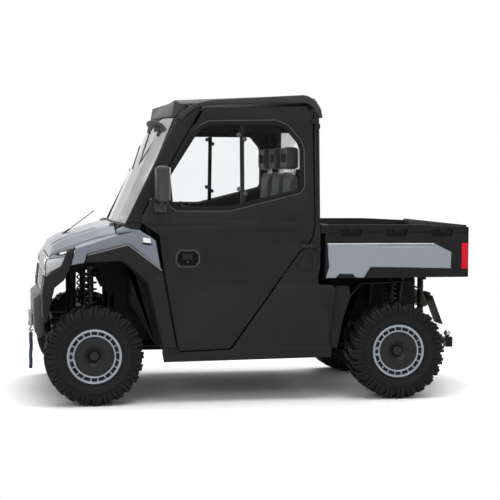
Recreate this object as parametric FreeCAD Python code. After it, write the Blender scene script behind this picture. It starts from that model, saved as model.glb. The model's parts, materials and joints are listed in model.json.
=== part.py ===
import FreeCAD, Part
import os
from math import cos, pi, radians, sin, sqrt, tan

os.makedirs("parts", exist_ok=True)
V = FreeCAD.Vector

# Side by side utility vehicle with a closed three-seat cab and a tipping bed.
# Millimetres. Front is -X, the driver's side is -Y, the ground is Z = 0.

# Stance
wheelbase = 2050.0
front_overhang = 405.0      # front axle to the winch rollers
rear_overhang = 640.0       # rear axle to the end of the ball mount
width_over_tyres = 1616.0
tyre_radius = 325.0
front_tyre_width = 228.0
rear_tyre_width = 275.0

# Body shell
body_half_width = 745.0
belt_height = 1190.0        # top of the door's lower panel
lean_angle = 4.1            # the glasshouse leans in by this many degrees
door_thickness = 45.0
panel_thickness = 30.0      # rockers, arches and fenders
skin = 5.0                  # pressed and moulded sheets
floor_height = 400.0
glass_thickness = 5.0

# Bed
bed_half_width = 735.0
bed_top = 1178.0
bed_floor = 880.0
bed_underside = 820.0
bed_wall = 36.0
gate_thickness = 34.0
gate_gap = 8.0
gate_pin = 8.0

# Running gear
hub_height = tyre_radius
bead_radius = 178.0
rim_wall = 7.0
spindle_radius = 30.0
running_gap = 0.4           # shafts and pins in their bores
seat_gap = 0.3              # between pieces that seat on each other
kingpin_half = 600.0
rear_hub_half = 575.0
ball_radius = 24.0
steering_arm = 110.0
rack_rise = 66.0            # steering rack above the wheel centres
rack_radius = 11.0
eye_half = 15.0             # half height of a tie rod's end
arm_tube = 15.0
eye_radius = 19.0
pivot_low_z = 320.0
pivot_high_z = 500.0
shaft_radius = 13.0
drive_rise = 47.0           # final drives above the wheel centres
frame_tube = 22.0
hoop_tube = 20.0            # shock towers, a size under the rails that they stand on
rail_z = 320.0
frame_half_width = 210.0
tower_half = 330.0
tower_knee = 560.0
front_tower_z = 880.0
outrigger = 15.0
sill_z = 316.0
sill_half = 640.0
cage_tube = 24.0
skid_top = rail_z - frame_tube - seat_gap
tower_top = bed_underside - seat_gap - hoop_tube
bed_pivot_z = 790.0
bed_pin = 12.0
shock_eye = 27.7

front_axle = -(front_overhang + wheelbase + rear_overhang) / 2 + front_overhang
rear_axle = front_axle + wheelbase
front_wheel_y = (width_over_tyres - front_tyre_width) / 2
rear_wheel_y = (width_over_tyres - rear_tyre_width) / 2
rack_z = hub_height + rack_rise
drive_z = hub_height + drive_rise


def fx(distance):
    """X of a place this far behind the front axle."""
    return front_axle + distance


def rx(distance):
    """X of a place this far behind the rear axle."""
    return rear_axle + distance


def mirror(shape):
    return shape.mirror(V(0, 0, 0), V(0, 1, 0))


def pair(shape):
    return [shape, mirror(shape)]


def fuse(shapes):
    joined = shapes[0].multiFuse(shapes[1:]) if len(shapes) > 1 else shapes[0]
    return joined.removeSplitter()


def wire(points, y):
    corners = [V(x, y, z) for x, z in points]
    return Part.makePolygon(corners + corners[:1])


def plate(points, y_from, y_to):
    """A side outline in X and Z, given its thickness across Y."""
    return Part.Face(wire(points, y_from)).extrude(V(0, y_to - y_from, 0))


def block(x0, x1, y0, y1, z0, z1):
    return Part.makeBox(x1 - x0, y1 - y0, z1 - z0, V(x0, y0, z0))


def across(side, near, far):
    """Y limits of a stretch from near to far, on one side of the middle."""
    return sorted((side * near, side * far))


def rod(start, end, radius):
    along = V(*end) - V(*start)
    return Part.makeCylinder(radius, along.Length, V(*start), along)


def bent_tube(points, radius):
    pieces = [rod(a, b, radius) for a, b in zip(points, points[1:])]
    pieces += [Part.makeSphere(radius, V(*p)) for p in points[1:-1]]
    return fuse(pieces)


def strip(points, thickness):
    """Closes a line of X, Z points into a sheet of even thickness under it."""
    normals = []
    for (xa, za), (xb, zb) in zip(points, points[1:]):
        run = sqrt((xb - xa) ** 2 + (zb - za) ** 2)
        normals.append(((zb - za) / run, -(xb - xa) / run))
    under = []
    for i, (x, z) in enumerate(points):
        before = normals[max(i - 1, 0)]
        after = normals[min(i, len(normals) - 1)]
        nx, nz = before[0] + after[0], before[1] + after[1]
        scale = 2 * thickness / (nx * nx + nz * nz)
        under.append((x + nx * scale, z + nz * scale))
    return points + under[::-1]


def skinned(sections):
    """Joins outlines at several Y places into one ruled solid."""
    wires = [wire(points, y) for points, y in sections]
    return Part.makeLoft(wires, True, True)


def eased(shape, plane_y, size):
    """Bevels the edges round a side plate's outer face."""
    edges = [e for e in shape.Edges if all(abs(v.Y - plane_y) < 0.01 for v in e.Vertexes)]
    return shape.makeChamfer(size, edges)


def stepped(points, base_y, rise, run):
    """A pad on a driver's side face, or the inside of a dent, with sloped edges."""
    low = wire(points, base_y)
    high = Part.Face(low).makeOffset2D(-run, 2).OuterWire
    high.translate(V(0, -rise, 0))
    return Part.makeLoft([low, high], True, True)


def groove(points, base_y, width, depth):
    """The outline of a cover, as a narrow channel in a driver's side face."""
    face = Part.Face(wire(points, base_y))
    return face.cut(face.makeOffset2D(-width, 2)).extrude(V(0, depth, 0))


def octagon(x, z, half_x, half_z, corner):
    near_x, near_z = half_x - corner, half_z - corner
    signs = [(-near_x, -half_z), (near_x, -half_z), (half_x, -near_z), (half_x, near_z),
             (near_x, half_z), (-near_x, half_z), (-half_x, near_z), (-half_x, -near_z)]
    return [(x + dx, z + dz) for dx, dz in signs]


def turned(profile, x, y, z):
    """Revolves a closed outline of (offset along Y, radius) about a wheel axis."""
    corners = [V(x, y + offset, z + radius) for offset, radius in profile]
    face = Part.Face(Part.makePolygon(corners + corners[:1]))
    return face.revolve(V(x, y, z), V(0, 1, 0), 360)


def lean(shape):
    """Leans a driver's side piece of the glasshouse inwards from the belt."""
    out = shape.copy()
    out.rotate(V(0, -body_half_width, belt_height), V(1, 0, 0), -lean_angle)
    return out


def seat(shape, others):
    """Trims a piece back to the faces of those that it stands against."""
    for other in others:
        shape = shape.cut(other)
    return shape


def save(name, shapes):
    solids = []
    for shape in shapes:
        solids += shape.Solids
    for solid in solids:
        assert solid.isValid() and solid.Volume > 0, name
    body = solids[0] if len(solids) == 1 else Part.makeCompound(solids)
    body.exportStep("parts/" + name + ".step")
    print(name, len(solids), round(sum(s.Volume for s in solids) / 1e6, 2), "litres")
    return solids


# Doors

door_low = [(fx(320), belt_height), (fx(428), 1113), (fx(464), 850), (fx(557), 352),
            (fx(565), 348), (fx(893), 359), (fx(914), 378), (rx(-687), 997),
            (rx(-621), 1054), (rx(-592), 1102), (rx(-579), belt_height)]
door_high = [(fx(320), belt_height), (fx(328), 1248), (fx(735), 1954), (rx(-638), 1972),
             (rx(-585), 1933), (rx(-579), belt_height)]
window = [(fx(484), 1310), (fx(543), 1268), (fx(902), 1268), (rx(-671), 1388),
          (rx(-641), 1431), (rx(-643), 1687), (rx(-665), 1747), (rx(-753), 1848),
          (rx(-831), 1881), (fx(762), 1871), (fx(695), 1841), (fx(644), 1789), (fx(467), 1511)]
window_frame = 27.0         # seal and frame between the skin and the glass
seal_step = 8.0
belt_recess = 4.0           # the glasshouse skin lies this far inside the lower door's
waist_z = 870.0             # crease along the door and the side panel
waist_step = 3.0
sill_panel = [(fx(380), 443), (fx(662), 447), (fx(921), 766), (fx(962), 774), (rx(-380), 771),
              (rx(-380), 200), (fx(380), 200)]
sill_panel_rise = 7.0
sill_panel_slope = 14.0
handle = (fx(616), 958)
slider_x = fx(985)
slider_width = 26.0
hinge_x = rx(-560)
hinge_reach = 14.0          # hinge pin outside the skin
hinge_pin_radius = 9.0
lower_hinge_z = 1024.0
upper_hinge_z = 1853.0


def hinge_y(z):
    """Y of the door's pin line at a height, on the driver's side."""
    rise = max(z - belt_height, 0)
    return -(body_half_width + hinge_reach) + rise * tan(radians(lean_angle))


pin_low = V(hinge_x, -(body_half_width + hinge_reach), lower_hinge_z)
pin_high = V(hinge_x, hinge_y(upper_hinge_z), upper_hinge_z)


def on_pin(z):
    share = (z - pin_low.z) / (pin_high.z - pin_low.z)
    return pin_low + (pin_high - pin_low) * share


def hinge_barrel(z_low, z_high):
    return rod(tuple(on_pin(z_low)), tuple(on_pin(z_high)), hinge_pin_radius)


def door_leaf(z, half_height, reach, foot):
    """The door's half of a hinge: a barrel above mid height, a strap and its foot."""
    barrel = hinge_barrel(z + 0.5, z + half_height)
    y = on_pin(z + half_height / 2).y
    strap = block(hinge_x - reach, hinge_x, y - 4, y + 4, z + 0.5, z + half_height)
    root = block(hinge_x - reach, hinge_x - reach + foot, y - 4, y + 26, z + 0.5, z + half_height)
    return fuse([barrel, strap, root])


def window_prism(inset, y_from, y_to):
    """The window's outline drawn in by an inset, through a range of Y."""
    face = Part.Face(wire(window, y_from)).makeOffset2D(-inset, 2)
    return face.extrude(V(0, y_to - y_from, 0))


def sculpted(shape, outline):
    """Cuts the waist crease into a side piece and stands the lower panel proud of it."""
    outer = -body_half_width
    below = [(outer - 20, waist_z + 3), (outer, waist_z + 3), (outer + waist_step, waist_z - 8),
             (outer + waist_step, 200), (outer - 20, 200)]
    corners = [V(front_axle, y, z) for y, z in below + below[:1]]
    shape = shape.cut(Part.Face(Part.makePolygon(corners)).extrude(V(wheelbase, 0, 0)))
    pad = stepped(sill_panel, outer + waist_step, sill_panel_rise, sill_panel_slope)
    return fuse([shape, pad.common(plate(outline, outer - 20, outer + 20))])


def belt_recess_shape():
    """The step above the lower door's top crease, which widens rearwards."""
    outer = -body_half_width
    ends = [(rx(-500), 2100), (fx(280), 2100)]
    face = wire([(fx(280), 1153), (rx(-500), 1173)] + ends, outer)
    floor = wire([(fx(280), 1155), (rx(-500), 1207)] + ends, outer + belt_recess)
    return Part.makeLoft([face, floor], True, True)


def handle_parts():
    """Raised ring, the pocket inside it and the pull, on the driver's side."""
    outer = -body_half_width
    ring = plate(octagon(*handle, 80, 58, 30), outer - 3, outer + 5)
    pocket = plate(octagon(*handle, 64, 42, 22), outer - 10, outer + 24)
    x, z = handle
    pull = plate([(x - 40, z + 34), (x + 40, z + 34), (x + 30, z - 6), (x - 30, z - 6)],
                 outer + 2, outer + 26)
    return eased(ring, outer - 3, 2.5), pocket, pull


def door_shape():
    outer = -body_half_width
    inner = outer + door_thickness
    step = belt_recess_shape()
    low = sculpted(plate(door_low, outer, inner), door_low).cut(step)
    ring, pocket, pull = handle_parts()
    low = fuse([fuse([low, ring]).cut(pocket), pull])
    high = lean(plate(door_high, outer, inner).cut(step))
    opening = lean(fuse([window_prism(window_frame, outer - 30, inner + 30),
                         window_prism(0, outer - 30, outer + seal_step)]))
    divider = lean(block(slider_x - slider_width / 2, slider_x + slider_width / 2,
                         outer + 12, inner - 12, 1240, 1900))
    shell = fuse([low, high]).cut(opening)
    leaves = [door_leaf(lower_hinge_z, 28, 116, 20), door_leaf(upper_hinge_z, 32, 38, 14)]
    return fuse([shell, divider] + leaves)


def door_glass_shape():
    mid = -body_half_width + door_thickness / 2
    pane = window_prism(window_frame, mid - glass_thickness / 2, mid + glass_thickness / 2)
    divider = block(slider_x - slider_width / 2, slider_x + slider_width / 2,
                    mid - 40, mid + 40, 1200, 1950)
    return lean(pane.cut(divider))


def mirror_shape():
    """Mirror head and the arm that bolts to the door's upper front corner."""
    head = block(fx(398), fx(474), -935, -785, 1335, 1566)
    head = head.makeFillet(22, head.Edges)
    arm = bent_tube([(fx(440), -body_half_width, 1296), (fx(440), -790, 1330),
                     (fx(436), -835, 1390)], 13)
    foot = lean(block(fx(395), fx(475), -body_half_width - 14, -body_half_width + belt_recess,
                      1262, 1320))
    cap = block(fx(391), fx(402), -917, -803, 1353, 1548)
    cap = cap.makeFillet(5, cap.Edges)
    return fuse([head, cap, arm, foot])


# Wheels

tread_pitches = 24
tread_depth = 18.0
lug_end = 5.0               # lugs stop this far from the tread's centre line
shoulder_radius = 268.0     # the sidewall's widest point, where the lugs start
cavity_sides = 16
ring_slots = 20
slot_inner = 143.0
slot_outer = 161.0


def round_axle(profile, angle, side_y):
    """Places (offset, radius) points at an angle about the wheel's axis."""
    return [V(radius * sin(angle), side_y + offset, radius * cos(angle)) for offset, radius in profile]


def flat_face(corners):
    return Part.Face(Part.makePolygon(corners + corners[:1]))


def closed_solid(faces):
    shell = Part.makeShell(faces)
    shell.sewShape()
    solid = Part.Solid(shell)
    return solid if solid.Volume > 0 else solid.reversed()


def ring_faces(ring, following):
    """Flat facets between two closed outlines of equal count."""
    return [flat_face([a, b, c, d]) for a, b, c, d in
            zip(ring, ring[1:] + ring[:1], following[1:] + following[:1], following)]


def cavity_shape(half, side_y):
    """The air space between the beads, wider than the rim's barrel needs."""
    wall = 44
    profile = [(half - wall, bead_radius - 20), (half - wall, 290), (-half + wall, 290),
               (-half + wall, bead_radius - 20)]
    rings = [round_axle(profile, 2 * pi * i / cavity_sides, side_y) for i in range(cavity_sides)]
    faces = []
    for ring, following in zip(rings, rings[1:] + rings[:1]):
        faces += ring_faces(ring, following)
    return closed_solid(faces)


def tyre_shape(side_y, width):
    """Tyre in flat facets: a lug and a gap by turns, staggered across the tread."""
    half = width / 2
    step = pi / tread_pitches
    out = 1 / cos(step / 2)
    bead = (half - 26.3, (bead_radius + seat_gap) * out)
    widest = (half - 1, shoulder_radius)
    top = (half - 14, tyre_radius * out)
    root = (half - 27, (tyre_radius - tread_depth) * out)
    mid_top, mid_root = (lug_end, top[1]), (lug_end, root[1])

    def flipped(points):
        return [(-offset, radius) for offset, radius in points[::-1]]

    lugged = [bead, widest, top, mid_top, mid_root] + flipped([bead, widest, root])
    flank = [widest, top, mid_top, mid_root, root]
    faces = []
    for i in range(2 * tread_pitches):
        profile = lugged if i % 2 else flipped(lugged)
        start, end = (i - 0.5) * step, (i + 0.5) * step
        faces += ring_faces(round_axle(profile, start, side_y), round_axle(profile, end, side_y))
        faces += [flat_face(round_axle(points, start, side_y)) for points in (flank, flipped(flank))]
    return closed_solid(faces).cut(cavity_shape(half, side_y))


def rim_shape(side_y, width):
    """Dished disc wheel with a slotted ring, its face towards -Y."""
    half = width / 2
    face = -half + 26
    inside = half - 26
    flange = bead_radius + 10
    drop = bead_radius - rim_wall
    bore = spindle_radius + running_gap
    profile = [(face - 7, flange), (face, bead_radius), (inside, bead_radius),
               (inside + 7, flange), (inside + 7, drop), (face + 26, drop),
               (face + 18, drop - 6), (face + 18, 132), (face + 26, 116), (face + 50, 62),
               (face + 90, 46), (face + 90, bore), (face + 36, bore), (face + 36, 0.001),
               (face + 12, 0.001), (face + 12, 27), (face + 16, 31), (face + 32, 33),
               (face + 8, 64), (face + 4, 68), (face + 4, 124), (face, 128), (face, 140),
               (face + 2, slot_inner), (face + 2, slot_outer), (face - 2, slot_outer + 3),
               (face - 3, drop)]
    disc = turned(profile, 0, side_y, 0)
    slots = []
    for i in range(ring_slots):
        reach = 17 if i % 2 else 11
        slot = block(-reach, reach, side_y + face - 10, side_y + face + 30, slot_inner, slot_outer)
        slot.rotate(V(0, 0, 0), V(0, 1, 0), i * 360 / ring_slots)
        slots.append(slot)
    return disc.cut(Part.makeCompound(slots))


def placed(shape, x, side):
    out = shape.copy()
    out.translate(V(x, 0, hub_height))
    return out if side < 0 else mirror(out)


# Suspension and steering

ball_low_z = hub_height - 134
ball_high_z = hub_height + 141
eye_y = frame_half_width + frame_tube + seat_gap + eye_radius
shock_foot_y = 470.0


def knuckle_shape():
    """Upright with its spindle, steering arm and the cup round the drive joint."""
    x, y, z = fx(0), -kingpin_half, hub_height
    carrier = rod((x, y + 20, z), (x, y - 50, z), 52)
    spindle = rod((x, y - 40, z), (x, -(front_wheel_y + front_tyre_width / 2 - 62), z),
                  spindle_radius)
    post = rod((x, y, ball_low_z + ball_radius + seat_gap),
               (x, y, ball_high_z - ball_radius - seat_gap), 16)
    eye_top = rack_z + eye_half + seat_gap
    arm = rod((x, y, eye_top + 14), (x + steering_arm, y, eye_top + 14), 13)
    boss = rod((x + steering_arm, y, eye_top), (x + steering_arm, y, eye_top + 30), 18)
    cup = rod((x, y + 21, z), (x, y - 34, z), 36)
    return fuse([carrier, spindle, post, arm, boss]).cut(cup)


def rear_hub_shape():
    x, y, z = rx(0), -rear_hub_half, hub_height
    carrier = rod((x, y + 24, z), (x, y - 46, z), 54)
    spindle = rod((x, y - 40, z), (x, -(rear_wheel_y + rear_tyre_width / 2 - 62), z),
                  spindle_radius)
    post = rod((x, y, ball_low_z + ball_radius + seat_gap),
               (x, y, ball_high_z - ball_radius - seat_gap), 20)
    return fuse([carrier, spindle, post])


def wishbone(x, spread, tip_half, tip_z, pivot_z):
    """Two legs from an outer ball joint to eyes beside the frame, on the -Y side."""
    tip = (x, -tip_half, tip_z)
    legs = [rod(tip, (x + s * spread, -eye_y, pivot_z), arm_tube) for s in (-1, 1)]
    eyes = [rod((x + s * spread - 26, -eye_y, pivot_z),
                (x + s * spread + 26, -eye_y, pivot_z), eye_radius) for s in (-1, 1)]
    return fuse(legs + eyes + [Part.makeSphere(ball_radius, V(*tip))])


def bridge_top(tip_half):
    """Top of the plate across an upper wishbone, where the strut stands."""
    share = (tip_half - shock_foot_y) / (tip_half - eye_y)
    return ball_high_z + (pivot_high_z - ball_high_z) * share + arm_tube


def arms_shapes():
    shapes = []
    for x, tip_half, low, high in ((fx(0), kingpin_half, 125, 110), (rx(0), rear_hub_half, 140, 120)):
        shapes.append(wishbone(x, low, tip_half, ball_low_z, pivot_low_z))
        top = bridge_top(tip_half)
        bridge = block(x - 62, x + 76, -shock_foot_y - 22, -shock_foot_y + 22, top - 18, top)
        shapes.append(fuse([wishbone(x, high, tip_half, ball_high_z, pivot_high_z), bridge]))
    return shapes


coil_radius = 40.0
coil_wire = 6.5
coil_turns = 6
coil_steps = 10             # facets to a turn
wire_sides = 6


def spring_shape(start, along, length):
    """Open coil about the strut from one collar to the other, in flat facets."""
    side = along.cross(V(1, 0, 0)).normalize()
    ahead = side.cross(along)
    sections = []
    for i in range(coil_turns * coil_steps + 1):
        turn = 2 * pi * i / coil_steps
        outward = ahead * cos(turn) + side * sin(turn)
        centre = start + outward * coil_radius + along * (length * i / (coil_turns * coil_steps))
        sections.append([centre + outward * (coil_wire * sin(2 * pi * k / wire_sides))
                         + along * (coil_wire * cos(2 * pi * k / wire_sides))
                         for k in range(wire_sides)])
    faces = [flat_face(sections[0]), flat_face(sections[-1])]
    for here, following in zip(sections, sections[1:]):
        for a, b, c, d in zip(here, here[1:] + here[:1], following[1:] + following[:1], following):
            faces += [flat_face([a, b, c]), flat_face([a, c, d])]
    return closed_solid(faces)


def shock_shapes(x, top_z, tip_half):
    """Coil-over strut from the tower to its wishbone, on the -Y side, and its spring."""
    top = V(x, -(tower_half + hoop_tube + seat_gap + shock_eye), top_z)
    bottom = V(x, -shock_foot_y, bridge_top(tip_half) + seat_gap + 20)
    along = (bottom - top).normalize()
    length = (bottom - top).Length

    def at(distance):
        return tuple(top + along * distance)

    collar = coil_radius + coil_wire + 2
    high, low = 52, length - 42
    pieces = [rod((x - 20, top.y, top.z), (x + 20, top.y, top.z), shock_eye),
              rod((x - 20, bottom.y, bottom.z), (x + 20, bottom.y, bottom.z), 20),
              rod(at(15), at(length * 0.6), 22), rod(at(60), at(length), 11),
              rod(at(high - 10), at(high), collar), rod(at(low), at(low + 10), collar)]
    gap = coil_wire + seat_gap
    spring = spring_shape(top + along * (high + gap), along, low - high - 2 * gap)
    return [fuse(pieces), spring]


# Structure

bed_pivot_x = rx(330)
rear_shock_x = rx(45)
nose_x = fx(-300)
leg_x = fx(560)
back_leg_x = rx(-594)
seat_bar_z = 1150.0


def tower_shapes(x_from, x_to, top):
    """Two hoops over the axle, tied where the struts hang."""
    y, r = frame_half_width, hoop_tube
    shapes = [bent_tube([(x, -y, rail_z), (x, -y, tower_knee), (x, -tower_half, top),
                         (x, tower_half, top), (x, y, tower_knee), (x, y, rail_z)], r)
              for x in (x_from, x_to)]
    return shapes + [rod((x_from, s * tower_half, top), (x_to, s * tower_half, top), r)
                     for s in (-1, 1)]


def rails_shape():
    """The two long rails, the pivot rails above them and what ties them."""
    y, r = frame_half_width, frame_tube
    pieces = []
    for s in (-1, 1):
        pieces.append(bent_tube([(nose_x, s * y, 620), (fx(-270), s * y, 380),
                                 (fx(-200), s * y, rail_z), (rx(500), s * y, rail_z)], r))
        pieces.append(bent_tube([(fx(-258), s * y, pivot_high_z), (fx(240), s * y, pivot_high_z),
                                 (fx(330), s * y, rail_z)], r))
        pieces.append(bent_tube([(rx(-220), s * y, rail_z), (rx(-220), s * y, pivot_high_z),
                                 (bed_pivot_x, s * y, pivot_high_z)], r))
        pieces.append(rod((bed_pivot_x, s * y, rail_z), (bed_pivot_x, s * y, bed_pivot_z), r))
        pieces.append(Part.makeSphere(r, V(bed_pivot_x, s * y, bed_pivot_z)))
    for x, z in ((nose_x, 620), (rx(500), rail_z)):
        pieces.append(rod((x, -y, z), (x, y, z), r))
        pieces += [Part.makeSphere(r, V(x, s * y, z)) for s in (-1, 1)]
    pieces.append(rod((bed_pivot_x, -272, bed_pivot_z), (bed_pivot_x, 272, bed_pivot_z), bed_pin))
    return fuse(pieces)


def outrigger_shape():
    """Sill tubes and the cross tubes that carry them."""
    r = outrigger
    pieces = [rod((leg_x - r, s * sill_half, sill_z), (back_leg_x + r, s * sill_half, sill_z), r)
              for s in (-1, 1)]
    for x in (leg_x, (leg_x + back_leg_x) / 2, back_leg_x):
        pieces.append(rod((x, -sill_half, sill_z), (x, sill_half, sill_z), r - 1))
    return fuse(pieces)


def front_tower_shape():
    """Front shock tower with the fascia's carrier and the steering rack's housing."""
    rack_x = fx(steering_arm)
    pieces = tower_shapes(fx(-110), fx(150), front_tower_z)
    for s in (-1, 1):
        pieces.append(block(rack_x, fx(162), *across(s, 118, 138), rack_z + 12, rack_z + 34))
        pieces.append(block(fx(140), fx(160), *across(s, 118, frame_half_width),
                            rack_z + 12, rack_z + 34))
    carrier_x = fascia_back(front_tower_z) + seat_gap + 12
    pieces.append(bent_tube([(fx(-110), -tower_half, front_tower_z), (carrier_x, -400, front_tower_z),
                             (carrier_x, 400, front_tower_z), (fx(-110), tower_half, front_tower_z)],
                            12))
    pieces.append(rod((rack_x, -140, rack_z), (rack_x, 140, rack_z), 26))
    bore = rod((rack_x, -150, rack_z), (rack_x, 150, rack_z), rack_radius + running_gap)
    return fuse(pieces).cut(bore)


def rear_tower_shape():
    return fuse(tower_shapes(rear_shock_x - 110, rear_shock_x + 110, tower_top))


def rack_shape():
    """Rack bar and tie rods, with their ends under the steering arms."""
    rack_x = fx(steering_arm)
    end = kingpin_half
    pieces = [rod((rack_x, -end, rack_z), (rack_x, end, rack_z), rack_radius)]
    for s in (-1, 1):
        pieces.append(rod((rack_x, s * 262, rack_z), (rack_x, s * 330, rack_z), 16))
        pieces.append(rod((rack_x, s * end, rack_z - eye_half), (rack_x, s * end, rack_z + eye_half), 17))
    return fuse(pieces)


def cage_shape():
    pieces = []
    for s in (-1, 1):
        pieces.append(bent_tube([(leg_x, s * sill_half, sill_z), (fx(470), s * 652, 850),
                                 (fx(345), s * 655, 1185), (fx(628), s * 604, 1905),
                                 (rx(-640), s * 602, 1930), (back_leg_x, s * 612, 1870),
                                 (back_leg_x, s * 655, seat_bar_z),
                                 (back_leg_x, s * sill_half, sill_z)],
                                cage_tube))
    for x, z, y in ((fx(628), 1905, 604), (rx(-640), 1930, 602), (back_leg_x, seat_bar_z, 655)):
        pieces.append(rod((x, -y, z), (x, y, z), cage_tube))
    return fuse(pieces)


def floor_shapes():
    line = [(fx(262), 1089.7), (fx(262), 640), (fx(420), floor_height), (rx(-600), floor_height)]
    cabin = plate(strip(line, skin), -sill_half, sill_half)
    skid = block(fx(-150), rx(-560), -226, 226, skid_top - skin, skid_top)
    return [cabin, skid]


def engine_shape():
    return block(rx(-490), rx(-150), -180, 180, 345, 760)


def bumper_shape():
    line = [(fx(-341), 409), (fx(-372), 454), (fx(-376), 558), (fx(-378), 672), (fx(-332), 712)]
    guard = plate(strip(line, 26), -430, 430)
    cheek = [(fx(-341), 409), (fx(-372), 454), (fx(-376), 558), (fx(-378), 672), (fx(-332), 712),
             (fx(-306), 690), (fx(-306), 430)]
    cheeks = pair(eased(plate(cheek, -430, -412), -430, 5))
    mouth = block(fx(-420), fx(-320), -140, 140, 456, 560)
    brackets = [block(fx(-352), nose_x - 6, s * 210 - 20, s * 210 + 20, 590, 650) for s in (-1, 1)]
    return fuse([guard] + cheeks + brackets).cut(mouth)


roller_x = fx(-386)


def winch_shape():
    """Drum between two housings, a roller fairlead and a hook."""
    z = 508
    x = fx(-290)
    pieces = [rod((x, -100, z), (x, 100, z), 34)]
    tray_half = frame_half_width - frame_tube - seat_gap
    pieces.append(block(nose_x, fx(-240), -tray_half, tray_half, 444, 460))
    guide = block(fx(-370), fx(-360), -130, 130, 462, 554)
    pieces.append(guide.cut(block(fx(-380), fx(-350), -70, 70, 492, 524)))
    for s in (-1, 1):
        pieces.append(rod((x, s * 100, z), (x, s * 176, z), 50))
        pieces.append(block(fx(-370), fx(-310), s * 120 - 9, s * 120 + 9, 464, 482))
        pieces.append(rod((roller_x, s * 82, 465), (roller_x, s * 82, 550), 14))
    for low in (462, 546):
        pieces.append(block(roller_x - 19, fx(-362), -104, 104, low, low + 8))
    for centre in (484, 532):
        pieces.append(rod((roller_x, -84, centre), (roller_x, 84, centre), 12))
    pieces.append(bent_tube([(roller_x, 0, 466), (roller_x, 0, 440), (roller_x - 12, 0, 424),
                             (roller_x, 0, 411), (roller_x + 13, 0, 424)], 6))
    return fuse(pieces)


hood_line = [(-286, 974), (-253, 1041), (-193, 1077), (-127, 1098), (41, 1151), (152, 1176)]
hood_fall = [0.1, 0.75, 1, 1, 1, 1]
hood_sections = [(0, -8), (150, -7), (162, 1), (176, 1), (190, -6), (330, -4), (352, 7), (480, 10),
                 (590, 52), (598, 74)]


hood_hinge = (156, 1182)
hood_pin = 5.0


def hood_leaves(from_x, to_x, y_from, y_to):
    """One half of both hood hinges: a barrel and the leaf that carries it."""
    x, z = fx(hood_hinge[0]), hood_hinge[1]
    leaves = []
    for s in (-1, 1):
        leaves.append(rod((x, s * y_from, z), (x, s * y_to, z), hood_pin))
        leaves.append(block(fx(from_x), fx(to_x), *across(s, y_from, y_to), z - 18, z + 1))
    return leaves


def hood_shape():
    sections = []
    for y, drop in hood_sections[:0:-1] + hood_sections:
        side = -1 if len(sections) < len(hood_sections) - 1 else 1
        line = [(fx(x), z - drop * fall) for (x, z), fall in zip(hood_line, hood_fall)]
        sections.append((strip(line, skin), side * y))
    return fuse([skinned(sections)] + hood_leaves(128, hood_hinge[0], 400, 440))


fascia_line = [(-328, 716), (-314, 840), (-311, 900), (-300, 960)]
fascia_thickness = 18.0
fascia_half = 430.0


def fascia_back(z):
    """X of the fascia's inner face at a height."""
    for (xa, za), (xb, zb) in zip(fascia_line, fascia_line[1:]):
        if za <= z <= zb:
            slope = (xb - xa) / (zb - za)
            return fx(xa + slope * (z - za)) + fascia_thickness * sqrt(1 + slope * slope)


def fascia_shape():
    line = [(fx(x), z) for x, z in fascia_line]
    panel = plate(strip(line, fascia_thickness), -fascia_half, fascia_half)
    louvres = [block(fx(-340), fx(-280), -half, half, z, z + 15)
               for z, half in ((748, 250), (774, 262), (800, 274), (826, 286))]
    return panel.cut(Part.makeCompound(louvres))


def repeater_shape():
    """Side lamp that fills its pocket in the fender."""
    lens = stepped(repeater, -fender_half, 4, 6)
    body = Part.Face(wire(repeater, -fender_half)).makeOffset2D(-seat_gap, 2)
    return fuse([lens, body.extrude(V(0, repeater_depth - seat_gap, 0))])


def headlamp_shape():
    line = [(fx(-167), 976), (fx(-299), 957), (fx(-309), 932), (fx(-312), 842), (fx(-251), 878),
            (fx(-201), 903)]
    return plate(line, -640, -fascia_half - seat_gap)


fender_half = 760.0
repeater = [(fx(317), 1098), (fx(321), 1062), (fx(371), 1056), (fx(367), 1092)]
repeater_depth = 10.0


def fender_shape():
    side = [(fx(-119), 1027), (fx(136), 1109), (fx(291), 1144), (fx(297), 1147), (fx(403), 1078),
            (fx(437), 885), (fx(241), 1044), (fx(222), 1053), (fx(-45), 990), (fx(-60), 934),
            (fx(-146), 919)]
    outer = eased(plate(side, -fender_half, -fender_half + 25), -fender_half, 5)
    outer = outer.cut(plate(repeater, -fender_half - 1, -fender_half + repeater_depth))
    crest = [(fx(-119), 1027), (fx(136), 1109), (fx(291), 1144)]
    inner = [(fx(-119), 1044), (fx(136), 1118), (fx(291), 1150)]
    top = skinned([(strip(crest, 8), -fender_half), (strip(inner, 8), -606)])
    return fuse([outer, top])


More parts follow.
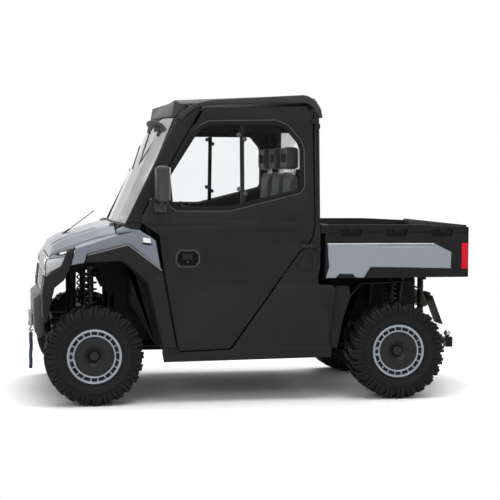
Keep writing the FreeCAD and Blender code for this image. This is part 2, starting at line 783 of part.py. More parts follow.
def arch_shapes():
    flare = [(fx(-45), 990), (fx(222), 1053), (fx(241), 1044), (fx(437), 885), (fx(453), 850),
             (fx(541), 368), (fx(449), 371), (fx(352), 794), (fx(339), 807), (fx(214), 927),
             (fx(183), 946), (fx(-52), 935)]
    band = [(fx(-173), 1007), (fx(-121), 1029), (fx(-154), 895), (fx(-192), 821), (fx(-253), 772),
            (fx(-272), 692), (fx(-300), 545), (fx(-317), 545), (fx(-329), 574), (fx(-333), 736),
            (fx(-318), 841), (fx(-210), 915)]
    wrap_out = [(fx(-317), 545), (fx(-329), 574), (fx(-333), 736), (fx(-318), 836)]
    wrap_in = [(fx(-321), 545), (fx(-334), 574), (fx(-336), 712), (fx(-320), 836)]
    tabs = [block(fx(460), fx(500), -740, -650, 590, 600),
            block(fx(415), fx(460), -740, -650, 825, 835)]
    liner = strip([(fx(183), 942), (fx(214), 923), (fx(339), 803), (fx(352), 790), (fx(447), 371)], 5)
    lug = stepped([(fx(407), 828), (fx(452), 828), (fx(449), 735), (fx(435), 715), (fx(420), 738)],
                  -775, 5, 5)
    rear = fuse([eased(plate(flare, -775, -735), -775, 8), plate(liner, -737, -645), lug] + tabs)
    corner = eased(plate(band, -740, -712), -740, 6)
    wrap = skinned([(strip(wrap_out, 10), -738), (strip(wrap_in, 10), -fascia_half - seat_gap)])
    return [rear, fuse([corner, wrap])]


quarter = [(fx(449), 340), (fx(461), 274), (fx(841), 279), (rx(-565), 287), (rx(-459), 288),
           (rx(-460), 349), (rx(-475), 405), (rx(-431), 749), (rx(-450), 771), (rx(-546), 777),
           (rx(-553), 822), (rx(-539), 900), (rx(-539), belt_height), (rx(-571), belt_height),
           (rx(-584), 1098), (rx(-613), 1048), (rx(-679), 990), (fx(922), 366), (fx(905), 350),
           (fx(566), 338)]


rocker_dent = [(rx(-932), 345), (rx(-766), 618), (rx(-744), 632), (rx(-430), 648), (rx(-430), 345)]
hatch = [(rx(-698), 911), (rx(-651), 984), (rx(-591), 984), (rx(-590), 863), (rx(-684), 864)]


def body_leaf(z, half_height, reach):
    barrel = hinge_barrel(z - half_height, z - 0.5)
    y = on_pin(z - half_height / 2).y
    strap = block(hinge_x, hinge_x + reach, y - 4, y + 4, z - half_height, z - 0.5)
    root = block(hinge_x + 11, hinge_x + reach, y - 4, y + 30, z - half_height, z - 0.5)
    return fuse([barrel, strap, root])


def side_panel_shape():
    outer = -body_half_width
    panel = sculpted(plate(quarter, outer, outer + panel_thickness), quarter)
    proud = outer + waist_step - sill_panel_rise
    panel = panel.cut(stepped(rocker_dent, proud, -9, 14)).cut(groove(hatch, outer, 5, 4))
    return fuse([panel, body_leaf(lower_hinge_z, 28, 21)])


def pillar_shapes():
    """Outer skins of the windscreen and rear pillars, with the upper hinge's body half."""
    outer = -body_half_width
    inner = outer + door_thickness
    foot = [(fx(205), 1132), (fx(300), 1155), (fx(308), belt_height), (fx(205), belt_height)]
    front = [(fx(205), belt_height), (fx(504), 1801), (fx(585), 1965), (fx(722), 1965),
             (fx(318), 1254), (fx(308), belt_height)]
    rear = [(rx(-571), belt_height), (rx(-577), 1938), (rx(-600), 1965), (rx(-560), 1965),
            (rx(-539), 1900), (rx(-539), belt_height)]
    front_post = fuse([plate(foot, outer, inner), lean(eased(plate(front, outer, inner), outer, 9))])
    rear_post = fuse([lean(eased(plate(rear, outer, inner), outer, 7)), body_leaf(upper_hinge_z, 32, 21)])
    return [front_post, rear_post]


def inside_pillars():
    """The space between the leaning pillars, for glass that reaches them."""
    gap = 0.3
    low_half = body_half_width - door_thickness - gap
    rise = 900
    high_half = low_half - rise * tan(radians(lean_angle))
    outline = [(-low_half, 900), (low_half, 900), (low_half, belt_height),
               (high_half, belt_height + rise), (-high_half, belt_height + rise),
               (-low_half, belt_height)]
    corners = [V(fx(-100), y, z) for y, z in outline]
    face = Part.Face(Part.makePolygon(corners + corners[:1]))
    return face.extrude(V(rx(-500) - fx(-100), 0, 0))


def windscreen_shape():
    sections = []
    for y in (-720, -360, 0, 360, 720):
        bow = 1 - (y / 720) ** 2
        base = (fx(235 - 66 * bow), 1184 + 6 * bow)
        top = (fx(556 - 60 * bow), 1920)
        normal = V(top[1] - base[1], 0, base[0] - top[0]).normalize() * glass_thickness
        under = [(top[0] + normal.x, top[1] + normal.z), (base[0] + normal.x, base[1] + normal.z)]
        sections.append(([base, top] + under, y))
    return skinned(sections).common(inside_pillars())


def trapezoid(x0, x1, low_half, high_half, z0, z1):
    corners = [V(x0, -low_half, z0), V(x0, low_half, z0), V(x0, high_half, z1), V(x0, -high_half, z1)]
    return Part.Face(Part.makePolygon(corners + corners[:1])).extrude(V(x1 - x0, 0, 0))


wall_x = rx(-569)


def rear_wall_shapes():
    half = body_half_width - door_thickness - 0.3
    wall = block(wall_x, rx(-539), -half, half, 770, 1960).common(inside_pillars())
    lower = block(wall_x, rx(-539), -half, half, 770, 905)
    opening = trapezoid(wall_x - 5, rx(-530), 570, 530, 1250, 1860)
    pane = trapezoid(wall_x + 12, wall_x + 12 + glass_thickness, 570, 530, 1250, 1860)
    return fuse([wall, lower]).cut(opening), pane


def roof_shape():
    mid = [(fx(460), 1901), (fx(585), 2010), (rx(-630), 2056), (rx(-553), 2030), (rx(-505), 1958),
           (rx(-501), 1899), (rx(-521), 1899), (rx(-529), 1950), (rx(-570), 1992),
           (rx(-635), 2014), (fx(615), 1972), (fx(505), 1901)]
    edge = [(fx(520), 1893), (fx(540), 2000), (rx(-630), 2046), (rx(-558), 2021), (rx(-514), 1953),
            (rx(-507), 1899), (rx(-527), 1899), (rx(-536), 1945), (rx(-575), 1985),
            (rx(-635), 2003), (fx(585), 1966), (fx(555), 1893)]
    rim = [(fx(555), 1905), (fx(570), 1975), (rx(-633), 2012), (rx(-575), 1992), (rx(-530), 1940),
           (rx(-520), 1905), (rx(-530), 1905), (rx(-540), 1935), (rx(-580), 1975),
           (rx(-635), 1992), (fx(605), 1964), (fx(575), 1905)]
    return skinned([(rim, -694), (edge, -644), (mid, 0), (edge, 644), (rim, 694)])


def cowl_shape():
    half = body_half_width - door_thickness - seat_gap
    line = [(fx(163), 1150), (fx(163), 1183), (fx(225), 1183), (fx(300), 1175), (fx(300), 1110),
            (fx(262), 1090)]
    side = [(fx(163), 1117), (fx(163), 1183), (fx(225), 1183), (fx(300), 1175), (fx(300), 1147),
            (fx(291), 1145)]
    ends = [plate(side, -half, -606), plate(side, 606, half)]
    deck = plate(side[1:4] + [(fx(300), 1150), (fx(163), 1150)], -half, half)
    return fuse([plate(line, -600, 600), deck] + ends
                + hood_leaves(hood_hinge[0], 170, 440.5, 480))


def dash_shape():
    front = fx(300) + seat_gap
    line = [(front, 1110), (front, 1174), (fx(380), 1225), (fx(500), 1205), (fx(548), 1120),
            (fx(520), 960), (fx(380), 900), (front, 960)]
    return plate(line, -600, 600)


column_base = (fx(520), -370, 1050)
column_dir = V(0.87, 0, 0.49).normalize()


def column_shape():
    start = V(*column_base)
    tube = rod(tuple(start), tuple(start + column_dir * 150), 30)
    bore = rod(tuple(start + column_dir * 60), tuple(start + column_dir * 160), 12 + running_gap)
    return tube.cut(bore)


def wheel_shape():
    start = V(*column_base)
    centre = start + column_dir * 215
    ring = Part.makeTorus(182, 15, centre, column_dir)
    hub = rod(tuple(centre - column_dir * 50), tuple(centre - column_dir * 8), 46)
    shaft = rod(tuple(start + column_dir * 66), tuple(centre - column_dir * 20), 12)
    across = V(0, 1, 0)
    down = column_dir.cross(across).normalize()
    spokes = []
    for spoke in (across, -across, down):
        if spoke.z > 0.5:
            spoke = -spoke
        spokes.append(rod(tuple(centre - column_dir * 26 + spoke * 30), tuple(centre + spoke * 178), 10))
    return fuse([ring, hub, shaft] + spokes)


seat_centres = (-400.0, 0.0, 400.0)
seat_width = 380.0


def seat_box_shape():
    outer = block(fx(890), rx(-625), -600, 600, floor_height + 0.3, 760)
    return outer.cut(block(fx(910), rx(-645), -580, 580, floor_height - 10, 740))


def cushion_shapes():
    shapes = []
    for y in seat_centres:
        pad = block(fx(855), rx(-760), y - seat_width / 2, y + seat_width / 2, 760.3, 872)
        shapes.append(pad.makeFillet(26, pad.Edges))
    return shapes


def back_rear(z):
    """X of the seat backs' rear face, which leans on the cage's cross tube."""
    rake = radians(4.2)
    return back_leg_x - (cage_tube + seat_gap) / cos(rake) + (z - seat_bar_z) * tan(rake)


def back_shapes():
    line = [(rx(-740), 880), (back_rear(765), 765), (back_rear(1460), 1460),
            (back_rear(1460) - 14, 1530), (back_rear(1460) - 76, 1530)]
    shapes = []
    for y in seat_centres:
        pad = plate(line, y - seat_width / 2, y + seat_width / 2)
        shapes.append(pad.makeFillet(20, pad.Edges))
    return shapes


def headrest_shapes():
    shapes = []
    for y in seat_centres:
        pad = block(rx(-725), rx(-640), y - 130, y + 130, 1548, 1704)
        pad = pad.makeFillet(24, pad.Edges)
        window = block(rx(-740), rx(-620), y - 60, y + 60, 1606, 1650)
        posts = [rod((rx(-655), y + s * 45, 1530 + seat_gap), (rx(-655), y + s * 45, 1560), 6)
                 for s in (-1, 1)]
        shapes.append(fuse([pad.cut(window)] + posts))
    return shapes


# Bed

bed_front = rx(-500)
bed_rear = rx(505)
floor_end = bed_rear - gate_thickness - gate_gap
gate_axis_x = bed_rear - 12
gate_axis_z = bed_underside + 18


tie_downs = (rx(-324), rx(-7), rx(317))
tie_down_z = 1124.0
rail_crease = 1121.0


def rail_dents(s):
    """Groove along a bed side, its tie-down pockets and the slope of the rail's top."""
    outer = s * bed_half_width
    inner = s * (bed_half_width - 4)
    cuts = [block(rx(-470), bed_rear + 1, *sorted((outer + s, inner)), rail_crease, rail_crease + 6)]
    for x in tie_downs:
        pocket = [(x - 80, tie_down_z + 24), (x + 80, tie_down_z + 24), (x + 68, tie_down_z - 26),
                  (x - 68, tie_down_z - 26)]
        cuts.append(plate(pocket, *sorted((outer + s, s * (bed_half_width - 26)))))
    slope = [(rx(150), bed_top + 1), (rx(150), bed_top), (bed_rear + 1, bed_top - 16),
             (bed_rear + 1, bed_top + 1)]
    cuts.append(plate(slope, *sorted((outer + s, s * (bed_half_width - bed_wall - 12)))))
    return cuts


def tie_down_hooks(s):
    """The V in each pocket that a strap's hook goes behind."""
    y = sorted((s * (bed_half_width - 3), s * (bed_half_width - 30)))
    return [plate([(x - 20, tie_down_z + 26), (x + 20, tie_down_z + 26), (x, tie_down_z - 6)], *y)
            for x in tie_downs]


def latch_lever(s):
    """Bed release lever under the bed's front corner."""
    y = s * 600
    bar = bent_tube([(rx(-421), y, bed_floor - 10), (rx(-421), y, 797), (rx(-316), y, 745)], 9)
    grip = rod((rx(-342), y, 758), (rx(-312), y, 743), 12)
    return [bar, grip]


def bed_shapes():
    half = bed_half_width
    tub = block(bed_front, bed_rear, -half, half, bed_underside, bed_top)
    rails = [block(rx(-532), bed_rear, *across(s, half - 44, half), 1121, bed_top) for s in (-1, 1)]
    cavity = block(bed_front + bed_wall, bed_rear + 1, -half + bed_wall, half - bed_wall,
                   bed_floor, bed_top + 1)
    below = block(bed_front + 30, floor_end - 30, -half + 30, half - 30, bed_underside - 1,
                  bed_floor - 22)
    ribs = [block(bed_front + 20, floor_end - 20, s * 330 - 15, s * 330 + 15, bed_underside,
                  bed_floor - 10) for s in (-1, 1)]
    lugs = [block(bed_pivot_x - 26, bed_pivot_x + 26, s * 254 - 11, s * 254 + 11,
                  bed_pivot_z - 22, bed_floor - 10) for s in (-1, 1)]
    pin = rod((bed_pivot_x, -300, bed_pivot_z), (bed_pivot_x, 300, bed_pivot_z), bed_pin + running_gap)
    doorway = block(floor_end, bed_rear + 1, -half + bed_wall, half - bed_wall, bed_underside - 1,
                    bed_floor + 1)
    hinge = rod((gate_axis_x, -half - 1, gate_axis_z), (gate_axis_x, half + 1, gate_axis_z),
                gate_pin + running_gap)
    tub = fuse([tub] + rails).cut(cavity).cut(below).cut(doorway).cut(hinge)
    tub = tub.cut(Part.makeCompound(rail_dents(-1) + rail_dents(1)))
    extras = [shape for s in (-1, 1) for shape in tie_down_hooks(s) + latch_lever(s)]
    return fuse([tub] + ribs + lugs + extras).cut(pin)


def lamp_shape():
    return block(rx(457), rx(503), -bed_half_width - 2, -bed_half_width + 22, 876, 1052)


def trim_shape():
    line = [(rx(-489), 1054), (rx(256), 1053), (rx(382), 992), (rx(379), 881), (rx(-189), 892),
            (rx(-235), bed_underside), (rx(-286), bed_underside), (rx(-311), 845), (rx(-404), 847),
            (rx(-429), bed_underside), (rx(-498), bed_underside), (rx(-475), 895)]
    outer = -bed_half_width - 10
    band = [(rx(-145), 1046), (rx(-111), 1026), (rx(262), 1025), (rx(240), 1046)]
    return eased(plate(line, outer, -bed_half_width), outer, 5).cut(stepped(band, outer, -4, 4))


def gate_shape():
    half = bed_half_width - bed_wall - gate_gap
    panel = block(bed_rear - gate_thickness, bed_rear, -half, half, gate_axis_z - 12, bed_top - 4)
    for s in (-1, 1):
        dent = block(bed_rear - 6, bed_rear + 1, *across(s, 130, half - 60), 900, 1110)
        panel = panel.cut(dent)
    panel = panel.cut(block(bed_rear - 22, bed_rear + 1, -90, 90, 1060, 1120))
    pull = block(bed_rear - 26, bed_rear - 6, -60, 60, 1098, 1122)
    panel = fuse([panel, pull])
    pins = rod((gate_axis_x, -bed_half_width + 6, gate_axis_z),
               (gate_axis_x, bed_half_width - 6, gate_axis_z), gate_pin)
    return fuse([panel, pins])


def rear_arch_shape():
    """Mudguard over a rear wheel, held by two arms from the tower."""
    line = [(rx(-412), 345), (rx(-368), 556), (rx(-322), 690), (rx(-240), 780), (rx(80), 790),
            (rx(180), 740)]
    flange = [(rx(-454), 345), (rx(-407), 345), (rx(-363), 556), (rx(-317), 690), (rx(-330), 765),
              (rx(-420), 765), (rx(-424), 740), (rx(-470), 405)]
    guard = fuse([plate(strip(line, skin), -700, -530), plate(flange, -705, -700)])
    reach = tower_half + frame_tube / 2
    arms = [block(rx(-60), rx(-38), -535, -reach, 775, 785), block(rx(98), rx(118), -535, -reach, 768, 779)]
    return fuse([guard] + arms)


def hitch_shape():
    bar = block(rx(500), rx(640), -30, 30, 296, 322)
    drop = block(rx(588), rx(640), -30, 30, 250, 300)
    shank = rod((rx(608), 0, 320), (rx(608), 0, 332), 12)
    ball = Part.makeSphere(25, V(rx(608), 0, 349))
    return fuse([bar, drop, shank, ball])


def plate_holder_shape():
    line = [(rx(502), 436), (rx(422), 644)]
    board = plate(strip(line, 6), -200, -10)
    arm = block(bed_pivot_x, rx(440), -204, -190, 590, 606)
    lip = plate([(rx(398), 640), (rx(424), 640), (rx(432), 662), (rx(404), 672)], -150, -60)
    return fuse([board, arm, lip])


def exhaust_shape():
    can = rod((rx(430), 40, 600), (rx(430), 380, 600), 58)
    pipe = bent_tube([(rx(430), 210, 600), (rx(300), 100, 600), (rx(150), 60, 600),
                      (rx(-150) + seat_gap, 60, 600)], 22)
    tip = rod((rx(430), 330, 600), (rx(505), 330, 585), 20)
    return fuse([can, pipe, tip])


def half_shafts(x, case_half, end):
    """Shafts that drop from a final drive to the wheels, with what they end in."""
    fall = drive_rise / (kingpin_half - case_half)
    return [rod((x, s * (case_half - 10), drive_z), (x, s * end, drive_z - fall * (end - case_half)),
                shaft_radius) for s in (-1, 1)]


def drivetrain_shapes():
    front = [block(fx(-80), fx(80), -90, 90, 332, 430)] + half_shafts(fx(0), 90, kingpin_half)
    front += [Part.makeSphere(28, V(fx(0), s * kingpin_half, hub_height)) for s in (-1, 1)]
    front.append(rod((fx(70), 0, 347), (rx(-490) - seat_gap, 0, 347), 12))
    rear = [block(rx(-90), rx(80), -100, 100, 344, 440)] + half_shafts(rx(0), 100, rear_hub_half - 34)
    rear += [rod((rx(0), s * (rear_hub_half - 24 - seat_gap), hub_height + 4),
                 (rx(0), s * (rear_hub_half - 90), hub_height + 4), 30) for s in (-1, 1)]
    rear.append(block(rx(-150) + seat_gap, rx(-80), -70, 70, 350, 430))
    return [fuse(front), fuse(rear)]


def largest(shape):
    return max(shape.Solids, key=lambda solid: solid.Volume)


def antenna_shape():
    foot = rod((fx(-183), 0, 1060), (fx(-175), 0, 1096), 16)
    lower = rod((fx(-179), 0, 1084), (fx(-113), 0, 1128), 5)
    mast = rod((fx(-113), 0, 1128), (fx(47), 0, 1248), 2.5)
    return fuse([foot, lower, mast])


def wiper_shape():
    motor = block(fx(400), fx(520), -300, -180, 1790, 1880)
    arm = rod((fx(420), -240, 1800), (fx(330), -180, 1500), 6)
    return fuse([motor, arm])


strap_width = 25.0
strap_thickness = 4.0
strap_route = [(roller_x, 0, 404.5), (roller_x - 1, 0, 352), (roller_x + 3, 0, 300),
               (roller_x - 4, 0, 248), (roller_x + 1, 0, 198), (roller_x - 3, 0, 150)]


def rounded_path(points):
    """Straight runs joined by tangent arcs as large as the runs allow."""
    corners = [V(*p) for p in points]
    edges = []
    here = corners[0]
    for before, corner, after in zip(corners, corners[1:], corners[2:]):
        into = (corner - before).normalize()
        away = (after - corner).normalize()
        turn = into.getAngle(away)
        shorter = min((corner - before).Length, (after - corner).Length)
        setback = 0.45 * shorter
        start = corner - into * setback
        end = corner + away * setback
        bisector = (away - into).normalize()
        radius = setback / tan(turn / 2)
        print("arc radius", round(radius))
        middle = corner + bisector * (radius / cos(turn / 2) - radius)
        edges.append(Part.LineSegment(here, start).toShape())
        edges.append(Part.Arc(start, middle, end).toShape())
        here = end
    edges.append(Part.LineSegment(here, corners[-1]).toShape())
    return Part.Wire(edges)


def strap_shape():
    path = rounded_path(strap_route)
    first = V(*strap_route[0])
    along = (V(*strap_route[1]) - first).normalize()
    side = V(0, 1, 0)
    depth = along.cross(side).normalize()
    corners = [first + side * (a * strap_width / 2) + depth * (b * strap_thickness / 2)
               for a, b in ((-1, -1), (1, -1), (1, 1), (-1, 1), (-1, -1))]
    sweep = Part.BRepOffsetAPI.MakePipeShell(path)
    sweep.setBiNormalMode(side)
    sweep.add(Part.makePolygon(corners))
    sweep.build()
    sweep.makeSolid()
    solid = Part.Solid(sweep.shape())
    print("strap length", round(path.Length), "volume share",
          round(solid.Volume / (path.Length * strap_width * strap_thickness), 3))
    return solid


# Save every sub-part

door = door_shape()
save("door_left", [door])
save("door_right", [mirror(door)])
glass = door_glass_shape()
save("door_glass_left", [glass])
save("door_glass_right", [mirror(glass)])
knuckle = knuckle_shape()
save("knuckle_left", [knuckle])
save("knuckle_right", [mirror(knuckle)])
for end, x, side_y, width in (("front", fx(0), front_wheel_y, front_tyre_width),
                              ("rear", rx(0), rear_wheel_y, rear_tyre_width)):
    tyre = placed(tyre_shape(-side_y, width), x, -1)
    rim = placed(rim_shape(-side_y, width), x, -1)
    for name, flip in (("left", False), ("right", True)):
        save("tyre_%s_%s" % (end, name), [mirror(tyre) if flip else tyre])
        save("rim_%s_%s" % (end, name), [mirror(rim) if flip else rim])

rails = rails_shape()
save("frame_rails", [rails])
front_tower = seat(front_tower_shape(), [rails])
rear_tower = seat(rear_tower_shape(), [rails])
outriggers = seat(outrigger_shape(), [rails])
save("front_tower", [front_tower])
save("rear_tower", [rear_tower])
save("outriggers", [outriggers])
frame = Part.makeCompound([rails, front_tower, rear_tower, outriggers])
save("steering_rack", [rack_shape()])
roof = roof_shape()
cage = seat(cage_shape(), [frame, roof])
save("cab_frame", [cage])
save("roof", [roof])
arms = arms_shapes()
save("suspension_arms", arms + [mirror(a) for a in arms])
save("rear_hubs", pair(rear_hub_shape()))
shocks = (shock_shapes(fx(0), front_tower_z, kingpin_half)
          + shock_shapes(rear_shock_x, tower_top, rear_hub_half))
save("shocks", shocks + [mirror(s) for s in shocks])
save("drivetrain", drivetrain_shapes())
save("floor_pans", [seat(s, [frame, cage]) for s in floor_shapes()])
save("engine_block", [engine_shape()])
save("front_bumper", [seat(bumper_shape(), [frame])])
save("winch", [winch_shape()])
save("winch_strap", [strap_shape()])
hood = hood_shape()
save("hood", [hood])
save("antenna", [largest(antenna_shape().cut(hood))])
save("front_fascia", [fascia_shape()])
save("headlamps", pair(headlamp_shape()) + pair(repeater_shape()))
fender = fender_shape()
save("fenders", pair(fender))
arches = arch_shapes()
arches = [seat(a, [cage]) for a in arches]
save("front_arches", arches + [mirror(a) for a in arches])
side_panel = side_panel_shape()
save("side_panels", pair(side_panel))
cowl = seat(cowl_shape(), pair(fender))
pillars = [seat(p, [roof, side_panel, fender]) for p in pillar_shapes()]
save("pillars", pillars + [mirror(p) for p in pillars])
screen = seat(windscreen_shape(), [roof, cowl])
wall, rear_pane = rear_wall_shapes()
save("cab_glass", [screen, rear_pane])
save("rear_wall", [seat(wall, [roof, cage])])
save("cowl", [cowl])
save("wiper", [largest(seat(wiper_shape(), [screen, roof]))])
save("dashboard", [seat(fuse([dash_shape(), column_shape()]), [cage])])
save("steering_wheel", [wheel_shape()])
save("seat_box", [seat_box_shape()])
save("seat_cushions", cushion_shapes())
save("seat_backs", back_shapes())
save("headrests", headrest_shapes())
lamp = lamp_shape()
save("bed_tub", [seat(bed_shapes(), pair(lamp))])
save("tail_lamps", pair(lamp))
save("bed_trim", pair(trim_shape()))
save("tailgate", [gate_shape()])
save("rear_arches", pair(seat(rear_arch_shape(), [frame])))
save("hitch", [seat(hitch_shape(), [frame])])
save("plate_holder", [seat(plate_holder_shape(), [frame])])
save("exhaust", [exhaust_shape()])
mirror_part = seat(mirror_shape(), [door])
save("mirror_left", [mirror_part])
save("mirror_right", [mirror(mirror_part)])
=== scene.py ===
import json
import bpy
from math import cos, pi, radians, sin
from mathutils import Matrix, Vector


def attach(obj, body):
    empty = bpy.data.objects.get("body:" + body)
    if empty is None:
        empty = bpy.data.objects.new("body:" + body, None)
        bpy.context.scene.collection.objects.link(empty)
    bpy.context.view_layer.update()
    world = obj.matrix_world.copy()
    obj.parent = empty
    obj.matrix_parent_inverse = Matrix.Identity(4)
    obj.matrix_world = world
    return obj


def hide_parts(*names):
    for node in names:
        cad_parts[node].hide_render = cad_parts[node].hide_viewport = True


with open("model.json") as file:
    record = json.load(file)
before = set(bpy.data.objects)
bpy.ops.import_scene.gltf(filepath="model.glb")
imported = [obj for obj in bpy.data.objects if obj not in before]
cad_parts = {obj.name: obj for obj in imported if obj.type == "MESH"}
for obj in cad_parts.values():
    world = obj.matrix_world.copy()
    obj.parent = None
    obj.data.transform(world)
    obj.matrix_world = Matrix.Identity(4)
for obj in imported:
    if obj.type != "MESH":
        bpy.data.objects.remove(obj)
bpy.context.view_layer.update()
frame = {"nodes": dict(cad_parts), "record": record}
nodes = frame["nodes"]
bodyOf = {node: body for body, group in frame["record"]["behaviour"]["bodies"].items() for node in group}
slotOf = {entry["node"]: entry["material_slot"] for entry in frame["record"]["subparts"]}
print("frame loaded with", len(nodes), "nodes")

# The camera stands ahead of the vehicle on the driver's side
view = {
    "place": (-1.7985, -9.796, 1.509),
    "yaw": 10.565,      # degrees turned rearwards from square on
    "pitch": -3.087,
    "roll": 0.285,
    "lens": 100.04,
    "sensor": 36,       # mm wide
}


def addCamera():
    data = bpy.data.cameras.new("camera")
    data.sensor_width = view["sensor"]
    data.lens = view["lens"]
    camera = bpy.data.objects.new("camera", data)
    bpy.context.scene.collection.objects.link(camera)
    turn = (Matrix.Rotation(radians(-view["yaw"]), 4, "Z")
            @ Matrix.Rotation(radians(90 + view["pitch"]), 4, "X")
            @ Matrix.Rotation(radians(view["roll"]), 4, "Z"))
    camera.matrix_world = Matrix.Translation(view["place"]) @ turn
    bpy.context.scene.camera = camera


# Picking and shaping helpers

def pickOnly(*objs):
    bpy.ops.object.select_all(action="DESELECT")
    for obj in objs:
        obj.select_set(True)
    bpy.context.view_layer.objects.active = objs[0]


def rename(name):
    obj = bpy.context.active_object
    obj.name = name
    obj.data.name = name
    return obj


def modify(obj, kind, **settings):
    pickOnly(obj)
    modifier = obj.modifiers.new("shaping", kind)
    for key, value in settings.items():
        setattr(modifier, key, value)
    bpy.ops.object.modifier_apply(modifier=modifier.name)


def settle(obj):
    pickOnly(obj)
    bpy.ops.object.transform_apply(location=True, rotation=True, scale=True)
    return obj


def smooth(obj, angle=35):
    pickOnly(obj)
    bpy.ops.object.shade_smooth_by_angle(angle=radians(angle))


def dress(obj, body, finish):      # finish and body of a finished piece
    obj.data.materials.clear()
    obj.data.materials.append(finishes[finish])
    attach(obj, body)
    return obj


def linked(obj, name):
    bpy.context.scene.collection.objects.link(obj)
    obj.name = name
    obj.data.name = name
    return obj


def copyPiece(piece, name, move=Matrix.Identity(4)):
    twin = piece.copy()
    twin.data = piece.data.copy()
    twin.data.transform(move)
    if move.determinant() < 0:
        twin.data.flip_normals()
    return linked(twin, name)


def joinPieces(name, pieces):
    pickOnly(*pieces)
    bpy.ops.object.join()
    return rename(name)


def aim(piece, place, direction):      # turns a piece made about Z so that it points that way
    piece.rotation_mode = "QUATERNION"
    piece.rotation_quaternion = Vector(direction).to_track_quat("Z", "Y")
    piece.location = place
    return settle(piece)


def turnPiece(name, profile, sides=48, closed=False):      # profile of (height, radius) about Z
    height, radius = profile[0]
    bpy.ops.object.select_all(action="DESELECT")
    bpy.ops.mesh.primitive_circle_add(vertices=sides, radius=radius, location=(0, 0, height),
                                      fill_type="NOTHING" if closed else "NGON")
    piece = settle(rename(name))
    bpy.ops.object.mode_set(mode="EDIT")
    bpy.ops.mesh.select_all(action="SELECT")
    for nextHeight, nextRadius in profile[1:]:
        bpy.ops.mesh.extrude_region_move(TRANSFORM_OT_translate={"value": (0, 0, nextHeight - height)})
        ratio = nextRadius / radius
        bpy.ops.transform.resize(value=(ratio, ratio, 1), center_override=(0, 0, nextHeight))
        height, radius = nextHeight, nextRadius
    bpy.ops.mesh.select_all(action="SELECT")
    if closed:
        bpy.ops.mesh.remove_doubles(threshold=0.00001)
    bpy.ops.mesh.normals_make_consistent(inside=False)
    bpy.ops.object.mode_set(mode="OBJECT")
    return piece


def outlinePiece(name, points, axis, start, end, bevel=0.0, segments=2, roundAbove=25):
    # the order says where each number of (a, b, depth) goes
    order = {"X": (2, 0, 1), "Y": (0, 2, 1), "Z": (0, 1, 2)}[axis]
    bpy.ops.object.select_all(action="DESELECT")
    bpy.ops.mesh.primitive_circle_add(vertices=len(points), fill_type="NGON")
    piece = rename(name)
    for vertex, point in zip(piece.data.vertices, points):
        spot = (*point, start)
        vertex.co = tuple(spot[i] for i in order)
    shift = tuple((0, 0, end - start)[i] for i in order)
    bpy.ops.object.mode_set(mode="EDIT")
    bpy.ops.mesh.select_all(action="SELECT")
    bpy.ops.mesh.extrude_region_move(TRANSFORM_OT_translate={"value": shift})
    bpy.ops.mesh.select_all(action="SELECT")
    bpy.ops.mesh.normals_make_consistent(inside=False)
    bpy.ops.object.mode_set(mode="OBJECT")
    if bevel:
        modify(piece, "BEVEL", width=bevel, segments=segments, limit_method="ANGLE",
               angle_limit=radians(roundAbove))
    return piece


def blockPiece(name, low, high, bevel=0.0015, segments=2):
    middle = [(a + b) / 2 for a, b in zip(low, high)]
    bpy.ops.object.select_all(action="DESELECT")
    bpy.ops.mesh.primitive_cube_add(size=1, location=middle)
    piece = rename(name)
    piece.scale = [b - a for a, b in zip(low, high)]
    settle(piece)
    modify(piece, "BEVEL", width=bevel, segments=segments)
    return piece


# Finishes

def newFinish(name):
    material = bpy.data.materials.new(name)
    material.use_nodes = True
    tree = material.node_tree
    shader = tree.nodes["Principled BSDF"]
    place = tree.nodes.new("ShaderNodeTexCoord").outputs["Object"]
    return material, tree, shader, place


def noise(tree, place, scale, detail=3, roughness=0.5):
    node = tree.nodes.new("ShaderNodeTexNoise")
    node.inputs["Scale"].default_value = scale
    node.inputs["Detail"].default_value = detail
    node.inputs["Roughness"].default_value = roughness
    tree.links.new(place, node.inputs["Vector"])
    return node.outputs["Fac"]


def spread(tree, value, low, high):
    node = tree.nodes.new("ShaderNodeMapRange")
    node.inputs["From Min"].default_value = 0.3
    node.inputs["From Max"].default_value = 0.7
    node.inputs["To Min"].default_value = low
    node.inputs["To Max"].default_value = high
    tree.links.new(value, node.inputs["Value"])
    return node.outputs["Result"]


def tint(tree, value, dark, light):
    node = tree.nodes.new("ShaderNodeValToRGB")
    node.color_ramp.elements[0].position = 0.3
    node.color_ramp.elements[1].position = 0.7
    node.color_ramp.elements[0].color = (*dark, 1)
    node.color_ramp.elements[1].color = (*light, 1)
    tree.links.new(value, node.inputs["Fac"])
    return node.outputs["Color"]


def emboss(tree, shader, height, strength, distance):
    bump = tree.nodes.new("ShaderNodeBump")
    bump.inputs["Strength"].default_value = strength
    bump.inputs["Distance"].default_value = distance
    tree.links.new(height, bump.inputs["Height"])
    tree.links.new(bump.outputs["Normal"], shader.inputs["Normal"])


def shaded(colour, factor):
    return tuple(channel * factor for channel in colour)


def surface(name, colour, rough, grain=900, depth=0.0004, mottle=0.12, specular=0.3, metal=0.0,
            coat=0.0, roughSpread=0.06):      # mottled colour, uneven gloss and a fine grain
    material, tree, shader, place = newFinish(name)
    cloud = noise(tree, place, 6)
    tree.links.new(tint(tree, cloud, shaded(colour, 1 - mottle), shaded(colour, 1 + mottle)),
                   shader.inputs["Base Color"])
    patches = noise(tree, place, 17, 4)
    tree.links.new(spread(tree, patches, rough - roughSpread, rough + roughSpread),
                   shader.inputs["Roughness"])
    shader.inputs["Specular IOR Level"].default_value = specular
    shader.inputs["Metallic"].default_value = metal
    shader.inputs["Coat Weight"].default_value = coat
    shader.inputs["Coat Roughness"].default_value = 0.08
    if depth:
        emboss(tree, shader, noise(tree, place, grain, 2), 0.35, depth)
    return material


